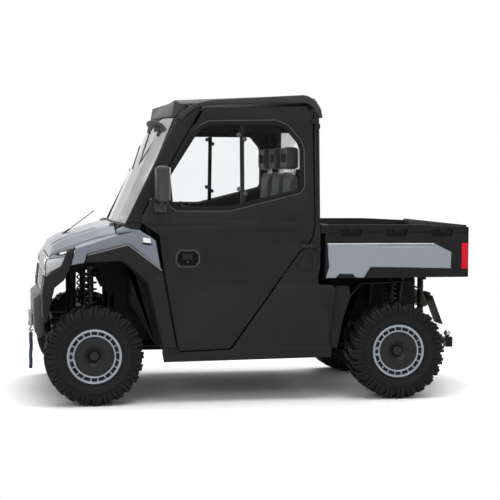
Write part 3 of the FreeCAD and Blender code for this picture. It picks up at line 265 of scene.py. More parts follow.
def metallicPaint(name, colour):      # flake under clear lacquer
    material, tree, shader, place = newFinish(name)
    flake = tree.nodes.new("ShaderNodeTexVoronoi")
    flake.inputs["Scale"].default_value = 1400
    tree.links.new(place, flake.inputs["Vector"])
    sparkle = tree.nodes.new("ShaderNodeSeparateColor")
    tree.links.new(flake.outputs["Color"], sparkle.inputs["Color"])
    tree.links.new(tint(tree, sparkle.outputs["Red"], shaded(colour, 0.88), shaded(colour, 1.12)),
                   shader.inputs["Base Color"])
    tree.links.new(spread(tree, noise(tree, place, 9), 0.34, 0.42), shader.inputs["Roughness"])
    shader.inputs["Metallic"].default_value = 0.55
    shader.inputs["Coat Weight"].default_value = 0.6
    shader.inputs["Coat Roughness"].default_value = 0.12
    emboss(tree, shader, noise(tree, place, 60, 2), 0.05, 0.0006)
    return material


def clearGlass(name, colour, rough=0.02, clear=1.0, bend=1.12):
    material, tree, shader, place = newFinish(name)
    tree.links.new(tint(tree, noise(tree, place, 3), shaded(colour, 0.985), colour),
                   shader.inputs["Base Color"])
    tree.links.new(spread(tree, noise(tree, place, 11), rough, rough + 0.02), shader.inputs["Roughness"])
    shader.inputs["Transmission Weight"].default_value = clear
    shader.inputs["IOR"].default_value = bend
    return material


def webbing(name, colour):      # woven, with ribs across it
    material, tree, shader, place = newFinish(name)
    wave = tree.nodes.new("ShaderNodeTexWave")
    wave.bands_direction = "Z"
    wave.inputs["Scale"].default_value = 160
    wave.inputs["Distortion"].default_value = 1.5
    tree.links.new(place, wave.inputs["Vector"])
    tree.links.new(tint(tree, wave.outputs["Fac"], shaded(colour, 0.6), shaded(colour, 1.4)),
                   shader.inputs["Base Color"])
    shader.inputs["Roughness"].default_value = 0.85
    shader.inputs["Sheen Weight"].default_value = 0.3
    emboss(tree, shader, wave.outputs["Fac"], 0.5, 0.0006)
    return material


def seatCloth(name, colour):      # coated cloth with a small weave
    material, tree, shader, place = newFinish(name)
    weave = tree.nodes.new("ShaderNodeTexVoronoi")
    weave.inputs["Scale"].default_value = 420
    tree.links.new(place, weave.inputs["Vector"])
    tree.links.new(tint(tree, noise(tree, place, 30), shaded(colour, 0.8), shaded(colour, 1.2)),
                   shader.inputs["Base Color"])
    tree.links.new(spread(tree, noise(tree, place, 14), 0.62, 0.78), shader.inputs["Roughness"])
    shader.inputs["Sheen Weight"].default_value = 0.15
    emboss(tree, shader, weave.outputs["Distance"], 0.4, 0.0005)
    return material


finishes = {
    "matt_shell": surface("charcoalShell", (0.0118, 0.0116, 0.012), 0.5, specular=0.14),
    "blue_shell": metallicPaint("blueGreyPaint", (0.17, 0.2, 0.245)),
    "grey_shell": surface("greyMoulding", (0.42, 0.43, 0.43), 0.5, specular=0.3),
    "window_glass": clearGlass("windowGlass", (0.945, 0.957, 0.962)),
    "lamp_clear": clearGlass("lampLens", (0.86, 0.88, 0.9), 0.08, 0.35, 1.4),
    "lamp_red": surface("redLens", (0.62, 0.006, 0.016), 0.3, depth=0, specular=0.12),
    "frame_paint": surface("powderCoat", (0.0055, 0.0055, 0.006), 0.42, grain=500, specular=0.14),
    "wheel_finish": surface("wheelDisc", (0.0108, 0.0108, 0.0112), 0.42, grain=700, specular=0.2),
    "tyre_rubber": surface("tyreRubber", (0.0078, 0.0073, 0.0078), 0.62, grain=600, depth=0.0006,
                           specular=0.14),
    "bare_steel": surface("bareSteel", (0.32, 0.32, 0.33), 0.34, grain=300, depth=0.0002, metal=1.0),
    "shock_finish": surface("springBlack", (0.01, 0.01, 0.011), 0.35, specular=0.25),
    "engine_casting": surface("castGrey", (0.09, 0.09, 0.095), 0.6, grain=240, depth=0.0012, metal=0.4),
    "bed_plastic": surface("bedPlastic", (0.0105, 0.0103, 0.0108), 0.55, grain=420, depth=0.0009,
                           specular=0.12),
    "inside_plastic": surface("cabPlastic", (0.009, 0.009, 0.0095), 0.62, specular=0.12),
    "seat_cover": seatCloth("seatCloth", (0.032, 0.032, 0.035)),
    "strap_web": webbing("strapWebbing", (0.03, 0.045, 0.09)),
    "belt_web": webbing("beltWebbing", (0.014, 0.014, 0.016)),
    "bumper_skin": surface("bumperSkin", (0.04, 0.0405, 0.041), 0.4, grain=380, depth=0.0012, specular=0.4),
    "black_hardware": surface("blackHardware", (0.03, 0.03, 0.032), 0.4, depth=0.0001, metal=0.5),
    "roof_skin": surface("roofSkin", (0.032, 0.0318, 0.034), 0.46, specular=0.15),
    # bed paint: a lighter copy of the blue-grey paint, painted light on the bed's sides
    "bed_paint": metallicPaint("bedPaintPaintedLight", (0.235, 0.265, 0.305)),
    # fender and hood paints: darker copies of the blue-grey paint, painted shade
    "fender_paint": metallicPaint("fenderPaintPaintedShade", (0.15, 0.17, 0.205)),
    "hood_paint": metallicPaint("hoodPaintPaintedShade", (0.115, 0.127, 0.142)),
    "screen_glass": clearGlass("screenGlass", (0.95, 0.96, 0.962), 0.05, 1.0, 1.32),
    # light grey for the strip along the flare's top edge: a painted highlight
    "edge_light": surface("paintedEdgeHighlight", (0.17, 0.165, 0.17), 0.4, depth=0.0002, specular=0.3),
    "trim_bead": surface("trimBead", (0.068, 0.068, 0.071), 0.4, depth=0.0002, specular=0.3),
    "cap_plastic": surface("capPlastic", (0.04, 0.04, 0.0415), 0.5, specular=0.25),
    "muddy_plate": surface("muddyPlate", (0.034, 0.029, 0.021), 0.7, grain=120, depth=0.0008, mottle=0.35),
    "burnt_steel": surface("burntSteel", (0.06, 0.054, 0.05), 0.5, grain=300, depth=0.0003, metal=0.8),
    "repeater_white": surface("repeaterLens", (0.82, 0.83, 0.83), 0.2, depth=0, specular=0.5, mottle=0.02),
    "lamp_glass_dark": surface("displayGlass", (0.012, 0.014, 0.016), 0.12, depth=0, specular=0.6, coat=0.6),
    # near-black rubber for the seals, also used as painted shade in the hood's grooves
    "seal": surface("rubberSeal", (0.006, 0.006, 0.006), 0.7, depth=0.0002, specular=0.15),
    "hardware": surface("zincHardware", (0.4, 0.4, 0.41), 0.3, depth=0.0001, metal=1.0),
    "ring_paint": surface("ringPaint", (0.27, 0.305, 0.345), 0.35, depth=0.0001, metal=0.5, coat=0.4),
    "mirror_face": surface("mirrorFace", (0.8, 0.81, 0.82), 0.03, depth=0, metal=1.0, roughSpread=0.01),
}

# Some nodes show another finish than the first of their slot
finishFor = {
    "plate_holder": "muddy_plate", "exhaust": "burnt_steel", "front_bumper": "bumper_skin",
    # the bed trim, fenders and hood take lighter and darker copies of the blue-grey paint: painted light and
    # painted shade
    "roof": "roof_skin", "bed_trim": "bed_paint", "fenders": "fender_paint", "hood": "hood_paint",
    "cab_glass": "screen_glass", "mirror_left": "cap_plastic", "mirror_right": "cap_plastic",
}

for name, node in nodes.items():
    node.data.materials.clear()
    node.data.materials.append(finishes[finishFor.get(name, slotOf[name])])

# The winch strap hangs from the hook

strap = {
    "route": [(-1.5285, 0.4045), (-1.5295, 0.352), (-1.5255, 0.300),
              (-1.5325, 0.248), (-1.5275, 0.198), (-1.5315, 0.150)],      # X and height, as the solid's
    "width": 0.025,
    "thickness": 0.004,
    "length": 0.2525,
}


def hangStrap():
    curve = bpy.data.curves.new("winchStrap", "CURVE")
    curve.dimensions = "3D"
    spline = curve.splines.new("NURBS")
    spline.points.add(len(strap["route"]) - 1)
    for point, (x, z) in zip(spline.points, strap["route"]):
        point.co = (x, 0, z, 1)
    spline.order_u = 3
    spline.use_endpoint_u = True
    curve.resolution_u = 24
    curve.twist_mode = "Z_UP"
    curve.extrude = strap["width"] / 2 - strap["thickness"] / 2
    curve.bevel_depth = strap["thickness"] / 2
    curve.bevel_resolution = 3
    curve.use_fill_caps = True
    piece = bpy.data.objects.new("winchStrap", curve)
    bpy.context.scene.collection.objects.link(piece)
    dress(piece, "chassis", "strap_web")
    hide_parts("winch_strap")


# Tyres: a moulded carcass with a row of lugs down each shoulder

tyre = {
    "pitches": 24,
    "top": 0.3232,          # the lugs' faces
    "root": 0.3035,         # their feet, inside the carcass
    "slant": 0.16,
    "axleHeight": 0.325,
    "sides": 96,
    "shoulderLugs": ((-0.0225, -0.0028), (0.0028, 0.0225)),      # each from and to along the tread
    "crownLug": (-0.0205, 0.0185),
    "bridge": (-0.004, 0.004),
    "lowLug": (-0.0095, 0.0095),
    "lugEdge": 0.0016,
    "lowEdge": 0.0014,
    "smoothBelow": 32,
}

wheels = {
    "front": {"x": -1.1425, "y": 0.694, "half": 0.114},
    "rear": {"x": 0.9075, "y": 0.6705, "half": 0.1375},
}


def tyreCarcass(half):      # profile of (distance from the middle, radius)
    outside = [(half - 0.0265, 0.1784), (half - 0.017, 0.1815), (half - 0.0155, 0.189),
               (half - 0.0175, 0.1935), (half - 0.012, 0.2), (half - 0.0062, 0.221), (half - 0.004, 0.224),
               (half - 0.0032, 0.234), (half - 0.0012, 0.2365), (half - 0.0012, 0.2405),
               (half - 0.0052, 0.243), (half - 0.0066, 0.262), (half - 0.0105, 0.279),
               (half - 0.0195, 0.2945), (half - 0.035, 0.3035), (half * 0.45, 0.3062), (0, 0.3075)]
    inside = [(half - 0.046, 0.1784), (half - 0.03, 0.205), (half - 0.019, 0.245), (half - 0.026, 0.276),
              (half - 0.048, 0.29), (0, 0.2945)]
    around = outside + [(-y, r) for y, r in outside[-2::-1]]
    around += [(-y, r) for y, r in inside] + inside[-2::-1] + outside[:1]
    return turnPiece("carcass", around, tyre["sides"], closed=True)


def lugRow(half):      # one lug on the +Y shoulder at the top of the tyre, which lies along Y here
    top, root, edge = tyre["top"], tyre["root"], tyre["lugEdge"]
    shoulder = [(half * 0.44, root), (half * 0.44, top - 0.001), (half * 0.46, top),
                (half - 0.0175, top - 0.0012), (half - 0.0125, top - 0.004), (half - 0.0042, 0.301),
                (half - 0.0006, 0.279), (half - 0.0006, 0.256), (half - 0.0022, 0.249),
                (half - 0.0125, 0.249), (half - 0.02, 0.285), (half - 0.036, 0.297)]
    crown = [(0.0055, root), (0.0055, top - 0.0004), (0.008, top + 0.0005), (half * 0.37, top + 0.0005),
             (half * 0.38, top - 0.0004), (half * 0.38, root)]
    filler = [(half * 0.56, root), (half * 0.56, 0.3125), (half - 0.022, 0.3125), (half - 0.012, 0.302),
              (half - 0.0046, 0.287), (half - 0.0036, 0.268), (half - 0.0125, 0.264), (half - 0.03, 0.296)]
    bridge = [(half * 0.5, root), (half * 0.5, top - 0.003), (half - 0.045, top - 0.003),
              (half - 0.045, root)]
    lugs = [outlinePiece("lug", shoulder, "X", *span, edge, 1) for span in tyre["shoulderLugs"]]
    lugs.append(outlinePiece("lug", crown, "X", *tyre["crownLug"], edge, 1))
    lugs.append(outlinePiece("lug", bridge, "X", *tyre["bridge"]))
    low = outlinePiece("lug", filler, "X", *tyre["lowLug"], tyre["lowEdge"], 1)
    low.data.transform(Matrix.Rotation(pi / tyre["pitches"], 4, "Y"))
    lug = joinPieces("lug", lugs)
    for vertex in lug.data.vertices:
        vertex.co.x += tyre["slant"] * (vertex.co.y - half * 0.5)
    return joinPieces("lug", [lug, low])


def buildTyre(half):
    carcass = tyreCarcass(half)
    carcass.data.transform(Matrix.Rotation(-pi / 2, 4, "X"))
    lug = lugRow(half)
    farLug = copyPiece(lug, "farLug", Matrix.Rotation(pi, 4, "Z"))
    step = 2 * pi / tyre["pitches"]
    parts = [carcass]
    for i in range(tyre["pitches"]):
        parts.append(copyPiece(lug, "lugCopy", Matrix.Rotation((i + 0.5) * step, 4, "Y")))
        parts.append(copyPiece(farLug, "lugCopy", Matrix.Rotation(i * step, 4, "Y")))
    bpy.data.objects.remove(lug)
    bpy.data.objects.remove(farLug)
    whole = joinPieces("tyre", parts)
    smooth(whole, tyre["smoothBelow"])
    return whole


def addTyres():
    for end, wheel in wheels.items():
        model = buildTyre(wheel["half"])
        for side, turn in (("left", 0), ("right", pi)):
            sign = -1 if side == "left" else 1
            place = Matrix.Translation((wheel["x"], sign * wheel["y"], tyre["axleHeight"]))
            piece = copyPiece(model, f"{end}{side.title()}Tyre", place @ Matrix.Rotation(turn, 4, "Z"))
            body = f"wheel_{end}_{side}"
            dress(piece, body, "tyre_rubber")
            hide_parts(f"tyre_{end}_{side}")
        bpy.data.objects.remove(model)


# Rims: a dark dished disc inside a painted ring with slots

ring = {
    "innerRadius": 0.1268,
    "outerRadius": 0.19,
    "front": 0.772,         # the ring's face is further out than this
    "facing": 0.25,         # how far a painted face looks outwards
    "slots": 20,
    "slotSpan": (0.1415, 0.1618),
    "slotHalf": (0.0212, 0.0188),      # long and short slots by turns
    "liner": (0.7862, 0.7792),         # face and back of the slots' liners
    "lip": (0.1782, 0.1886),           # dark edge between the ring and the tyre
    "band": (0.1312, 0.1412),
    "sides": 72,
    "smoothBelow": 40,
}

valve = {
    "radius": 0.1515,       # from the axle
    "size": 0.0165,
    "thickness": 0.0032,
    "oval": (0.78, 1.15, 1),
    "lipSide": 0.7862,
    "stemSide": 0.768,
    "stem": [(0, 0.0045), (0.012, 0.0045), (0.0125, 0.0055), (0.02, 0.0055), (0.021, 0.0045)],
    "plug": [(0.7792, 0.0172), (0.7858, 0.0172), (0.7864, 0.016)],
}


def paintRing(piece, axle):
    piece.data.materials.append(finishes["ring_paint"])
    for face in piece.data.polygons:
        reach = Vector((face.center.x - axle, face.center.z - tyre["axleHeight"])).length
        outward = face.normal.y if face.center.y > 0 else -face.normal.y
        onRing = ring["innerRadius"] < reach < ring["outerRadius"] and abs(face.center.y) > ring["front"]
        if onRing and outward > ring["facing"]:
            face.material_index = 1


def faceOut(piece, sign, move=Matrix.Identity(4)):      # turns a piece made about Z outwards on its side
    piece.data.transform(move @ Matrix.Rotation(pi / 2 * -sign, 4, "X"))
    return piece


def addSlotLiners(end, side, sign):      # dark pads that close the ring's slots
    wheel = wheels[end]
    low, high = ring["slotSpan"]
    liners = []
    for i in range(ring["slots"]):
        half = ring["slotHalf"][(i + 1) % 2]
        outline = [(-half * 0.9, low), (half * 0.9, low), (half, high), (-half, high)]
        liner = outlinePiece("liner", outline, "Y", *(sign * y for y in ring["liner"]), 0.0008, 1)
        liner.data.transform(Matrix.Rotation(i * 2 * pi / ring["slots"], 4, "Y"))
        liners.append(liner)
    inner, outer = ring["lip"]
    section = [(0.7868, inner), (0.7885, inner + 0.0016), (0.7885, outer - 0.0016), (0.786, outer),
               (0.783, outer), (0.783, inner), (0.7868, inner)]
    liners.append(faceOut(turnPiece("lip", section, ring["sides"], closed=True), sign))
    plug = turnPiece("plug", valve["plug"], 32)
    plug.scale = valve["oval"]
    liners.append(faceOut(settle(plug), sign, Matrix.Translation((-valve["radius"], 0, 0))))
    piece = joinPieces(f"{end}{side.title()}SlotLiners", liners)
    piece.data.transform(Matrix.Translation((wheel["x"], 0, tyre["axleHeight"])))
    dress(piece, f"wheel_{end}_{side}", "seal")


def addValve(end, side, sign):
    bpy.ops.object.select_all(action="DESELECT")
    bpy.ops.mesh.primitive_torus_add(major_radius=valve["size"], minor_radius=valve["thickness"],
                                     major_segments=32, minor_segments=10)
    lip = rename("valveLip")
    lip.scale = valve["oval"]
    settle(lip)
    lip.data.transform(Matrix.Rotation(pi / 2, 4, "X"))
    stem = faceOut(turnPiece("valveStem", valve["stem"], 16), sign)
    x = wheels[end]["x"] - valve["radius"]
    for piece, y, finish, slot in ((lip, valve["lipSide"], "ring_paint", "wheel_finish"),
                                   (stem, valve["stemSide"], "seal", "tyre_rubber")):
        piece.data.transform(Matrix.Translation((x, sign * y, tyre["axleHeight"])))
        piece.name = f"{end}{side.title()}{piece.name}"
        smooth(piece, ring["smoothBelow"])
        dress(piece, f"wheel_{end}_{side}", finish)


def addRingBand(end, side, sign):      # painted band inside the slots
    low, high = ring["band"]
    section = [(0.774, low), (0.7826, low), (0.7836, low + 0.001), (0.7836, high - 0.001), (0.7826, high),
               (0.774, high), (0.774, low)]
    band = faceOut(turnPiece("band", section, ring["sides"], closed=True), sign)
    band.data.transform(Matrix.Translation((wheels[end]["x"], 0, tyre["axleHeight"])))
    band.name = f"{end}{side.title()}RingBand"
    smooth(band, ring["smoothBelow"])
    dress(band, f"wheel_{end}_{side}", "ring_paint")


def addRims():
    for end, wheel in wheels.items():
        for side, sign in (("left", -1), ("right", 1)):
            piece = roundEdges(f"rim_{end}_{side}", 0.0014)
            paintRing(piece, wheel["x"])
            addSlotLiners(end, side, sign)
            addValve(end, side, sign)
            addRingBand(end, side, sign)


# Seats: padded pieces blown up as cloth, then pressed along their seams

seats = {
    "centres": (-0.4, 0.0, 0.4),
    "voxel": 0.006,
    "pressure": 4,
    "travel": 0.022,
    "headTravel": 0.009,
    "steps": 20,
    "shrink": 0.012,
    "channelWidth": 0.006,
    "channelDepth": 0.006,
    "seamSide": 0.118,      # the side seams, off the middle
    "fill": 0.75,
}

cushion = {
    "low": (-0.2875, -0.19, 0.7603),
    "high": (0.1475, 0.19, 0.872),
    "edge": 0.02,
    "seamRows": (-0.16, -0.04, 0.07),
}

seatBack = {
    "outline": [(0.1675, 0.88), (0.2609, 0.765), (0.3119, 1.46), (0.2979, 1.53), (0.2359, 1.53)],
    "half": 0.19,
    "edge": 0.016,
    "seamRows": (0.98, 1.12, 1.26, 1.4),
}

headrest = {
    "low": (0.1825, -0.13, 1.548),
    "high": (0.2675, 0.13, 1.704),
    "edge": 0.014,
    "window": (0.062, 1.604, 1.652),      # half width, low, high
    "windowDepth": (0.1, 0.4),
    "windowGap": 0.006,
    "posts": (0.2525, 0.045),             # X, and off the seat's middle
    "post": [(1.522, 0.0058), (1.564, 0.0058)],
    "collar": [(1.5235, 0.011), (1.531, 0.011), (1.533, 0.008)],
}


def puff(piece, travel):
    start = [vertex.co.copy() for vertex in piece.data.vertices]
    pickOnly(piece)
    cloth = piece.modifiers.new("puffing", "CLOTH")
    cloth.settings.quality = 5
    cloth.settings.use_pressure = True
    cloth.settings.uniform_pressure_force = seats["pressure"]
    cloth.settings.effector_weights.gravity = 0
    for number in range(1, seats["steps"] + 1):
        bpy.context.scene.frame_set(number)
    bpy.ops.object.modifier_apply(modifier=cloth.name)
    bpy.context.scene.frame_set(1)
    for vertex, place in zip(piece.data.vertices, start):
        move = vertex.co - place
        if move.length > travel:
            vertex.co = place + move * (travel / move.length)


def fitInto(piece, low, high):      # stretches a swollen piece back to the space of its solid
    for axis in range(3):
        values = [vertex.co[axis] for vertex in piece.data.vertices]
        least, most = min(values), max(values)
        scale = (high[axis] - low[axis]) / (most - least)
        for vertex in piece.data.vertices:
            vertex.co[axis] = low[axis] + (vertex.co[axis] - least) * scale


def pressSeam(piece, reach):      # sinks the skin along a seam; reach gives a point's distance to it, or None
    piece.data.update()
    normals = [vertex.normal.copy() for vertex in piece.data.vertices]
    for vertex, normal in zip(piece.data.vertices, normals):
        away = reach(vertex.co, normal)
        if away is not None:
            depth = seats["channelDepth"] * 2.72 ** (-(away / seats["channelWidth"]) ** 2)
            vertex.co -= normal * depth


def soften(piece, travel):
    modify(piece, "REMESH", mode="VOXEL", voxel_size=seats["voxel"])
    puff(piece, travel)
    modify(piece, "SMOOTH", factor=0.5, iterations=4)


def seamDistance(across, along, rows):      # to the side seams, or to a row between them
    side = seats["seamSide"]
    row = min(abs(along - place) for place in rows) if abs(across) < side else 1
    return min(abs(abs(across) - side), row)


def cushionSeam(place, normal):
    return None if normal.z < 0.3 else seamDistance(place.y, place.x, cushion["seamRows"])


def backSeam(place, normal):
    return None if normal.x > -0.3 else seamDistance(place.y, place.z, seatBack["seamRows"])


def shrunken(low, high):
    gap = seats["shrink"]
    return [a + gap for a in low], [b - gap for b in high]


def spreadSeats(piece, name, node):
    for index, centre in enumerate(seats["centres"]):
        twin = copyPiece(piece, f"{name}{index + 1}", Matrix.Translation((0, centre, 0)))
        smooth(twin, 180)
        dress(twin, "chassis", "seat_cover")
        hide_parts(node)
    bpy.data.objects.remove(piece)


def addCushions():
    pad = blockPiece("cushionPad", *shrunken(cushion["low"], cushion["high"]), cushion["edge"], 3)
    soften(pad, seats["travel"])
    fitInto(pad, cushion["low"], cushion["high"])
    pressSeam(pad, cushionSeam)
    spreadSeats(pad, "seatCushion", "seat_cushions")


def addBacks():
    line = seatBack["outline"]
    middle = Vector((sum(x for x, z in line) / len(line), sum(z for x, z in line) / len(line)))
    inner = []
    for x, z in line:
        inward = (middle - Vector((x, z))).normalized() * seats["shrink"]
        inner.append((x + inward.x * 0.8 if z > 1 else x + inward.x * 1.1, z + inward.y))
    half = seatBack["half"] - seats["shrink"]
    pad = outlinePiece("backPad", inner, "Y", -half, half, seatBack["edge"], 3)
    soften(pad, seats["travel"])
    low = (min(x for x, z in line), -seatBack["half"], min(z for x, z in line))
    high = (max(x for x, z in line), seatBack["half"], max(z for x, z in line))
    fitInto(pad, low, high)
    pressSeam(pad, backSeam)
    spreadSeats(pad, "seatBack", "seat_backs")


def addHeadrests():
    pad = blockPiece("headPad", *shrunken(headrest["low"], headrest["high"]), headrest["edge"], 3)
    half, low, high = headrest["window"]
    near, far = headrest["windowDepth"]
    gap = headrest["windowGap"]
    cutter = blockPiece("headWindow", (near, -half - gap, low - gap), (far, half + gap, high + gap), 0.01, 3)
    modify(pad, "BOOLEAN", operation="DIFFERENCE", object=cutter)
    bpy.data.objects.remove(cutter)
    soften(pad, seats["headTravel"])
    fitInto(pad, headrest["low"], headrest["high"])
    spreadSeats(pad, "headrest", "headrests")
    x, apart = headrest["posts"]
    for index, centre in enumerate(seats["centres"]):
        posts = []
        for s in (-1, 1):
            for name in ("post", "collar"):
                part = turnPiece(name, headrest[name], 20)
                part.data.transform(Matrix.Translation((x, centre + s * apart, 0)))
                posts.append(part)
        piece = joinPieces(f"headrestPosts{index + 1}", posts)
        smooth(piece, 40)
        dress(piece, "chassis", "hardware")


# Panels get rounded edges: a merged copy of the node is bevelled and shown in its place

edgeRounding = {
    "door_left": 0.004, "door_right": 0.004, "side_panels": 0.004, "roof": 0.006, "pillars": 0.004,
    "fenders": 0.003, "front_arches": 0.004, "front_bumper": 0.005, "front_fascia": 0.004, "cowl": 0.003,
    "bed_tub": 0.004, "tailgate": 0.004, "dashboard": 0.008, "plate_holder": 0.0015,
    "rear_arches": 0.002, "headlamps": 0.003, "tail_lamps": 0.002, "rear_wall": 0.003,
}


def roundEdges(name, width):
    source = nodes[name]
    piece = source.copy()
    piece.data = source.data.copy()
    piece.parent = None
    for key in list(piece.keys()):
        del piece[key]
    bpy.context.scene.collection.objects.link(piece)
    piece.name = name + "Panel"
    piece.matrix_world = Matrix.Identity(4)
    pickOnly(piece)
    bpy.ops.object.mode_set(mode="EDIT")
    bpy.ops.mesh.select_all(action="SELECT")
    bpy.ops.mesh.remove_doubles(threshold=0.00002)
    bpy.ops.mesh.dissolve_limited(angle_limit=radians(0.5))
    bpy.ops.object.mode_set(mode="OBJECT")
    modify(piece, "BEVEL", width=width, segments=2, limit_method="ANGLE", angle_limit=radians(28),
           use_clamp_overlap=True, harden_normals=False)
    smooth(piece, 40)
    dress(piece, bodyOf[name], finishFor.get(name, slotOf[name]))
    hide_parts(name)
    return piece


# Body details, modelled on the driver's side and mirrored

def frontX(distance):      # metres behind the front axle
    return wheels["front"]["x"] + distance


def rearX(distance):      # metres behind the rear axle
    return wheels["rear"]["x"] + distance


def fromFront(points):      # outline of (metres behind the front axle, height)
    return [(frontX(x), z) for x, z in points]


def fromRear(points):
    return [(rearX(x), z) for x, z in points]


skin = {
    "side": -0.745,
    "belt": 1.19,
    "lean": 4.1,      # degrees that the glasshouse leans in
}
acrossMiddle = Matrix.Scale(-1, 4, (0, 1, 0))


def leanIn(piece):
    pivot = Vector((0, skin["side"], skin["belt"]))
    turn = Matrix.Rotation(radians(-skin["lean"]), 4, "X")
    piece.data.transform(Matrix.Translation(pivot) @ turn @ Matrix.Translation(-pivot))
    return piece


def bothSides(piece, name, body, finish):      # body is one name, or the left and right one
    left, right = (body, body) if isinstance(body, str) else body
    twin = copyPiece(piece, name + "Right", acrossMiddle)
    piece.name = name + "Left"
    piece.data.name = piece.name
    for one, carrier in ((piece, left), (twin, right)):
        smooth(one, 35)
        dress(one, carrier, finish)


def addPlates(plates):      # flat pieces cut to an outline, on both sides
    for name, plate in plates.items():
        piece = outlinePiece(name, plate["outline"], plate.get("axis", "Y"), *plate["depth"], plate["edge"],
                             plate.get("segments", 2))
        if plate.get("leans"):
            leanIn(piece)
        bothSides(piece, name, plate.get("body", "chassis"), plate.get("finish", "seal"))


def ringPiece(name, points, width, start, end, bevel):
    # frame of even width inside an outline in X and height
    bpy.ops.object.select_all(action="DESELECT")
    bpy.ops.mesh.primitive_circle_add(vertices=len(points), fill_type="NGON")
    piece = rename(name)
    for vertex, (x, z) in zip(piece.data.vertices, points):
        vertex.co = (x, start, z)
    bpy.ops.object.mode_set(mode="EDIT")
    bpy.ops.mesh.select_all(action="SELECT")
    bpy.ops.mesh.inset(thickness=width)
    bpy.ops.mesh.delete(type="FACE")
    bpy.ops.mesh.select_all(action="SELECT")
    bpy.ops.mesh.extrude_region_move(TRANSFORM_OT_translate={"value": (0, end - start, 0)})
    bpy.ops.mesh.select_all(action="SELECT")
    bpy.ops.mesh.normals_make_consistent(inside=False)
    bpy.ops.object.mode_set(mode="OBJECT")
    modify(piece, "BEVEL", width=bevel, segments=2, limit_method="ANGLE", angle_limit=radians(40))
    return piece


def octagonPoints(x, z, half, tall, cut):
    return [(x - half + cut, z - tall), (x + half - cut, z - tall), (x + half, z - tall + cut),
            (x + half, z + tall - cut), (x + half - cut, z + tall), (x - half + cut, z + tall),
            (x - half, z + tall - cut), (x - half, z - tall + cut)]


def boltPiece(place, direction, size):      # washer, hexagon head and its chamfer
    head = turnPiece("boltHead", [(0.0, size), (size * 0.75, size), (size * 0.9, size * 0.82)], 6)
    washer = turnPiece("washer", [(-0.0004, size * 1.35), (size * 0.2, size * 1.35),
                                  (size * 0.24, size * 1.25)], 20)
    return aim(joinPieces("bolt", [head, washer]), place, direction)


# Doors: window frame, slider latches, handle and key barrel

doorTrim = {
    "window": (fromFront([(0.484, 1.310), (0.543, 1.268), (0.902, 1.268)])
               + fromRear([(-0.671, 1.388), (-0.641, 1.431), (-0.643, 1.687), (-0.665, 1.747),
                           (-0.753, 1.848), (-0.831, 1.881)])
               + fromFront([(0.762, 1.871), (0.695, 1.841), (0.644, 1.789), (0.467, 1.511)])),
    "frontBar": fromFront([(0.4285, 1.440), (0.6555, 1.840), (0.702, 1.846), (0.650, 1.786), (0.474, 1.508),
                           (0.482, 1.440)]),
    "sealWidth": 0.036,
    "beadWidth": 0.0055,
    "handle": (frontX(0.616), 0.958),
    "rim": (0.080, 0.058, 0.030),      # half length, half height and cut corner
    "well": (0.0625, 0.0405, 0.0215),
    "lip": (0.066, 0.044, 0.023),
    "keyDrop": 0.024,
    "keyBarrel": [(0, 0.0085), (0.003, 0.0085), (0.0045, 0.0072), (0.0046, 0.0052), (0.0034, 0.0048)],
    "slider": frontX(0.985),
    "latches": [(-0.022, 1.779), (0.018, 1.748), (-0.022, 1.419), (0.018, 1.389)],      # X off the slider
    "latch": [(-0.012, 0.008), (-0.012, 0.0125), (-0.010, 0.0145), (0.010, 0.0145), (0.012, 0.0125),
              (0.012, 0.008)],
    "bodies": ("door_left", "door_right"),
}


def addDoorTrim():
    side, bodies, window = skin["side"], doorTrim["bodies"], doorTrim["window"]
    seal = ringPiece("windowSeal", window, doorTrim["sealWidth"], side + 0.0045, side + 0.0078, 0.0009)
    bothSides(leanIn(seal), "windowSeal", bodies, "seal")
    bead = ringPiece("windowBead", window, doorTrim["beadWidth"], side + 0.0028, side + 0.0075, 0.0012)
    bothSides(leanIn(bead), "windowBead", bodies, "trim_bead")
    latches = []
    for offset, height in doorTrim["latches"]:
        latch = turnPiece("latch", doorTrim["latch"], 24)
        latch.data.transform(Matrix.Rotation(pi / 2, 4, "X"))
        latch.data.transform(Matrix.Translation((doorTrim["slider"] + offset, side + 0.0225, height)))
        latches.append(leanIn(latch))
    bar = outlinePiece("doorFrontBar", doorTrim["frontBar"], "Y", side + 0.002, side + 0.0076, 0.001, 1)
    bothSides(leanIn(bar), "doorFrontBar", bodies, "matt_shell")
    bothSides(joinPieces("windowLatches", latches), "windowLatches", bodies, "trim_bead")
    x, z = doorTrim["handle"]
    rim = ringPiece("handleRim", octagonPoints(x, z, *doorTrim["rim"]), 0.0055, side - 0.0048, side - 0.002,
                    0.0013)
    bothSides(rim, "handleRim", bodies, "trim_bead")
    well = outlinePiece("handleWell", octagonPoints(x, z, *doorTrim["well"]), "Y", side + 0.0232,
                        side + 0.0215)
    bothSides(well, "handleWell", bodies, "seal")
    lip = ringPiece("handleLip", octagonPoints(x, z, *doorTrim["lip"]), 0.0035, side - 0.0036, side + 0.02,
                    0.001)
    bothSides(lip, "handleLip", bodies, "seal")
    lock = turnPiece("keyBarrel", doorTrim["keyBarrel"], 28)
    aim(lock, (x, side + 0.0015, z - doorTrim["keyDrop"]), (0, -1, 0))
    bothSides(lock, "keyBarrel", bodies, "black_hardware")


mirrorTrim = {
    "cap": ((frontX(0.3895), -0.922, 1.349), (frontX(0.4035), -0.798, 1.553)),
    "glass": ((frontX(0.4735), -0.926, 1.345), (frontX(0.4758), -0.794, 1.556)),
    "bolts": [(along, high) for along in (0.408, 0.462) for high in (1.272, 1.306)],
    "boltStand": 0.0145,
    "boltSize": 0.006,
}


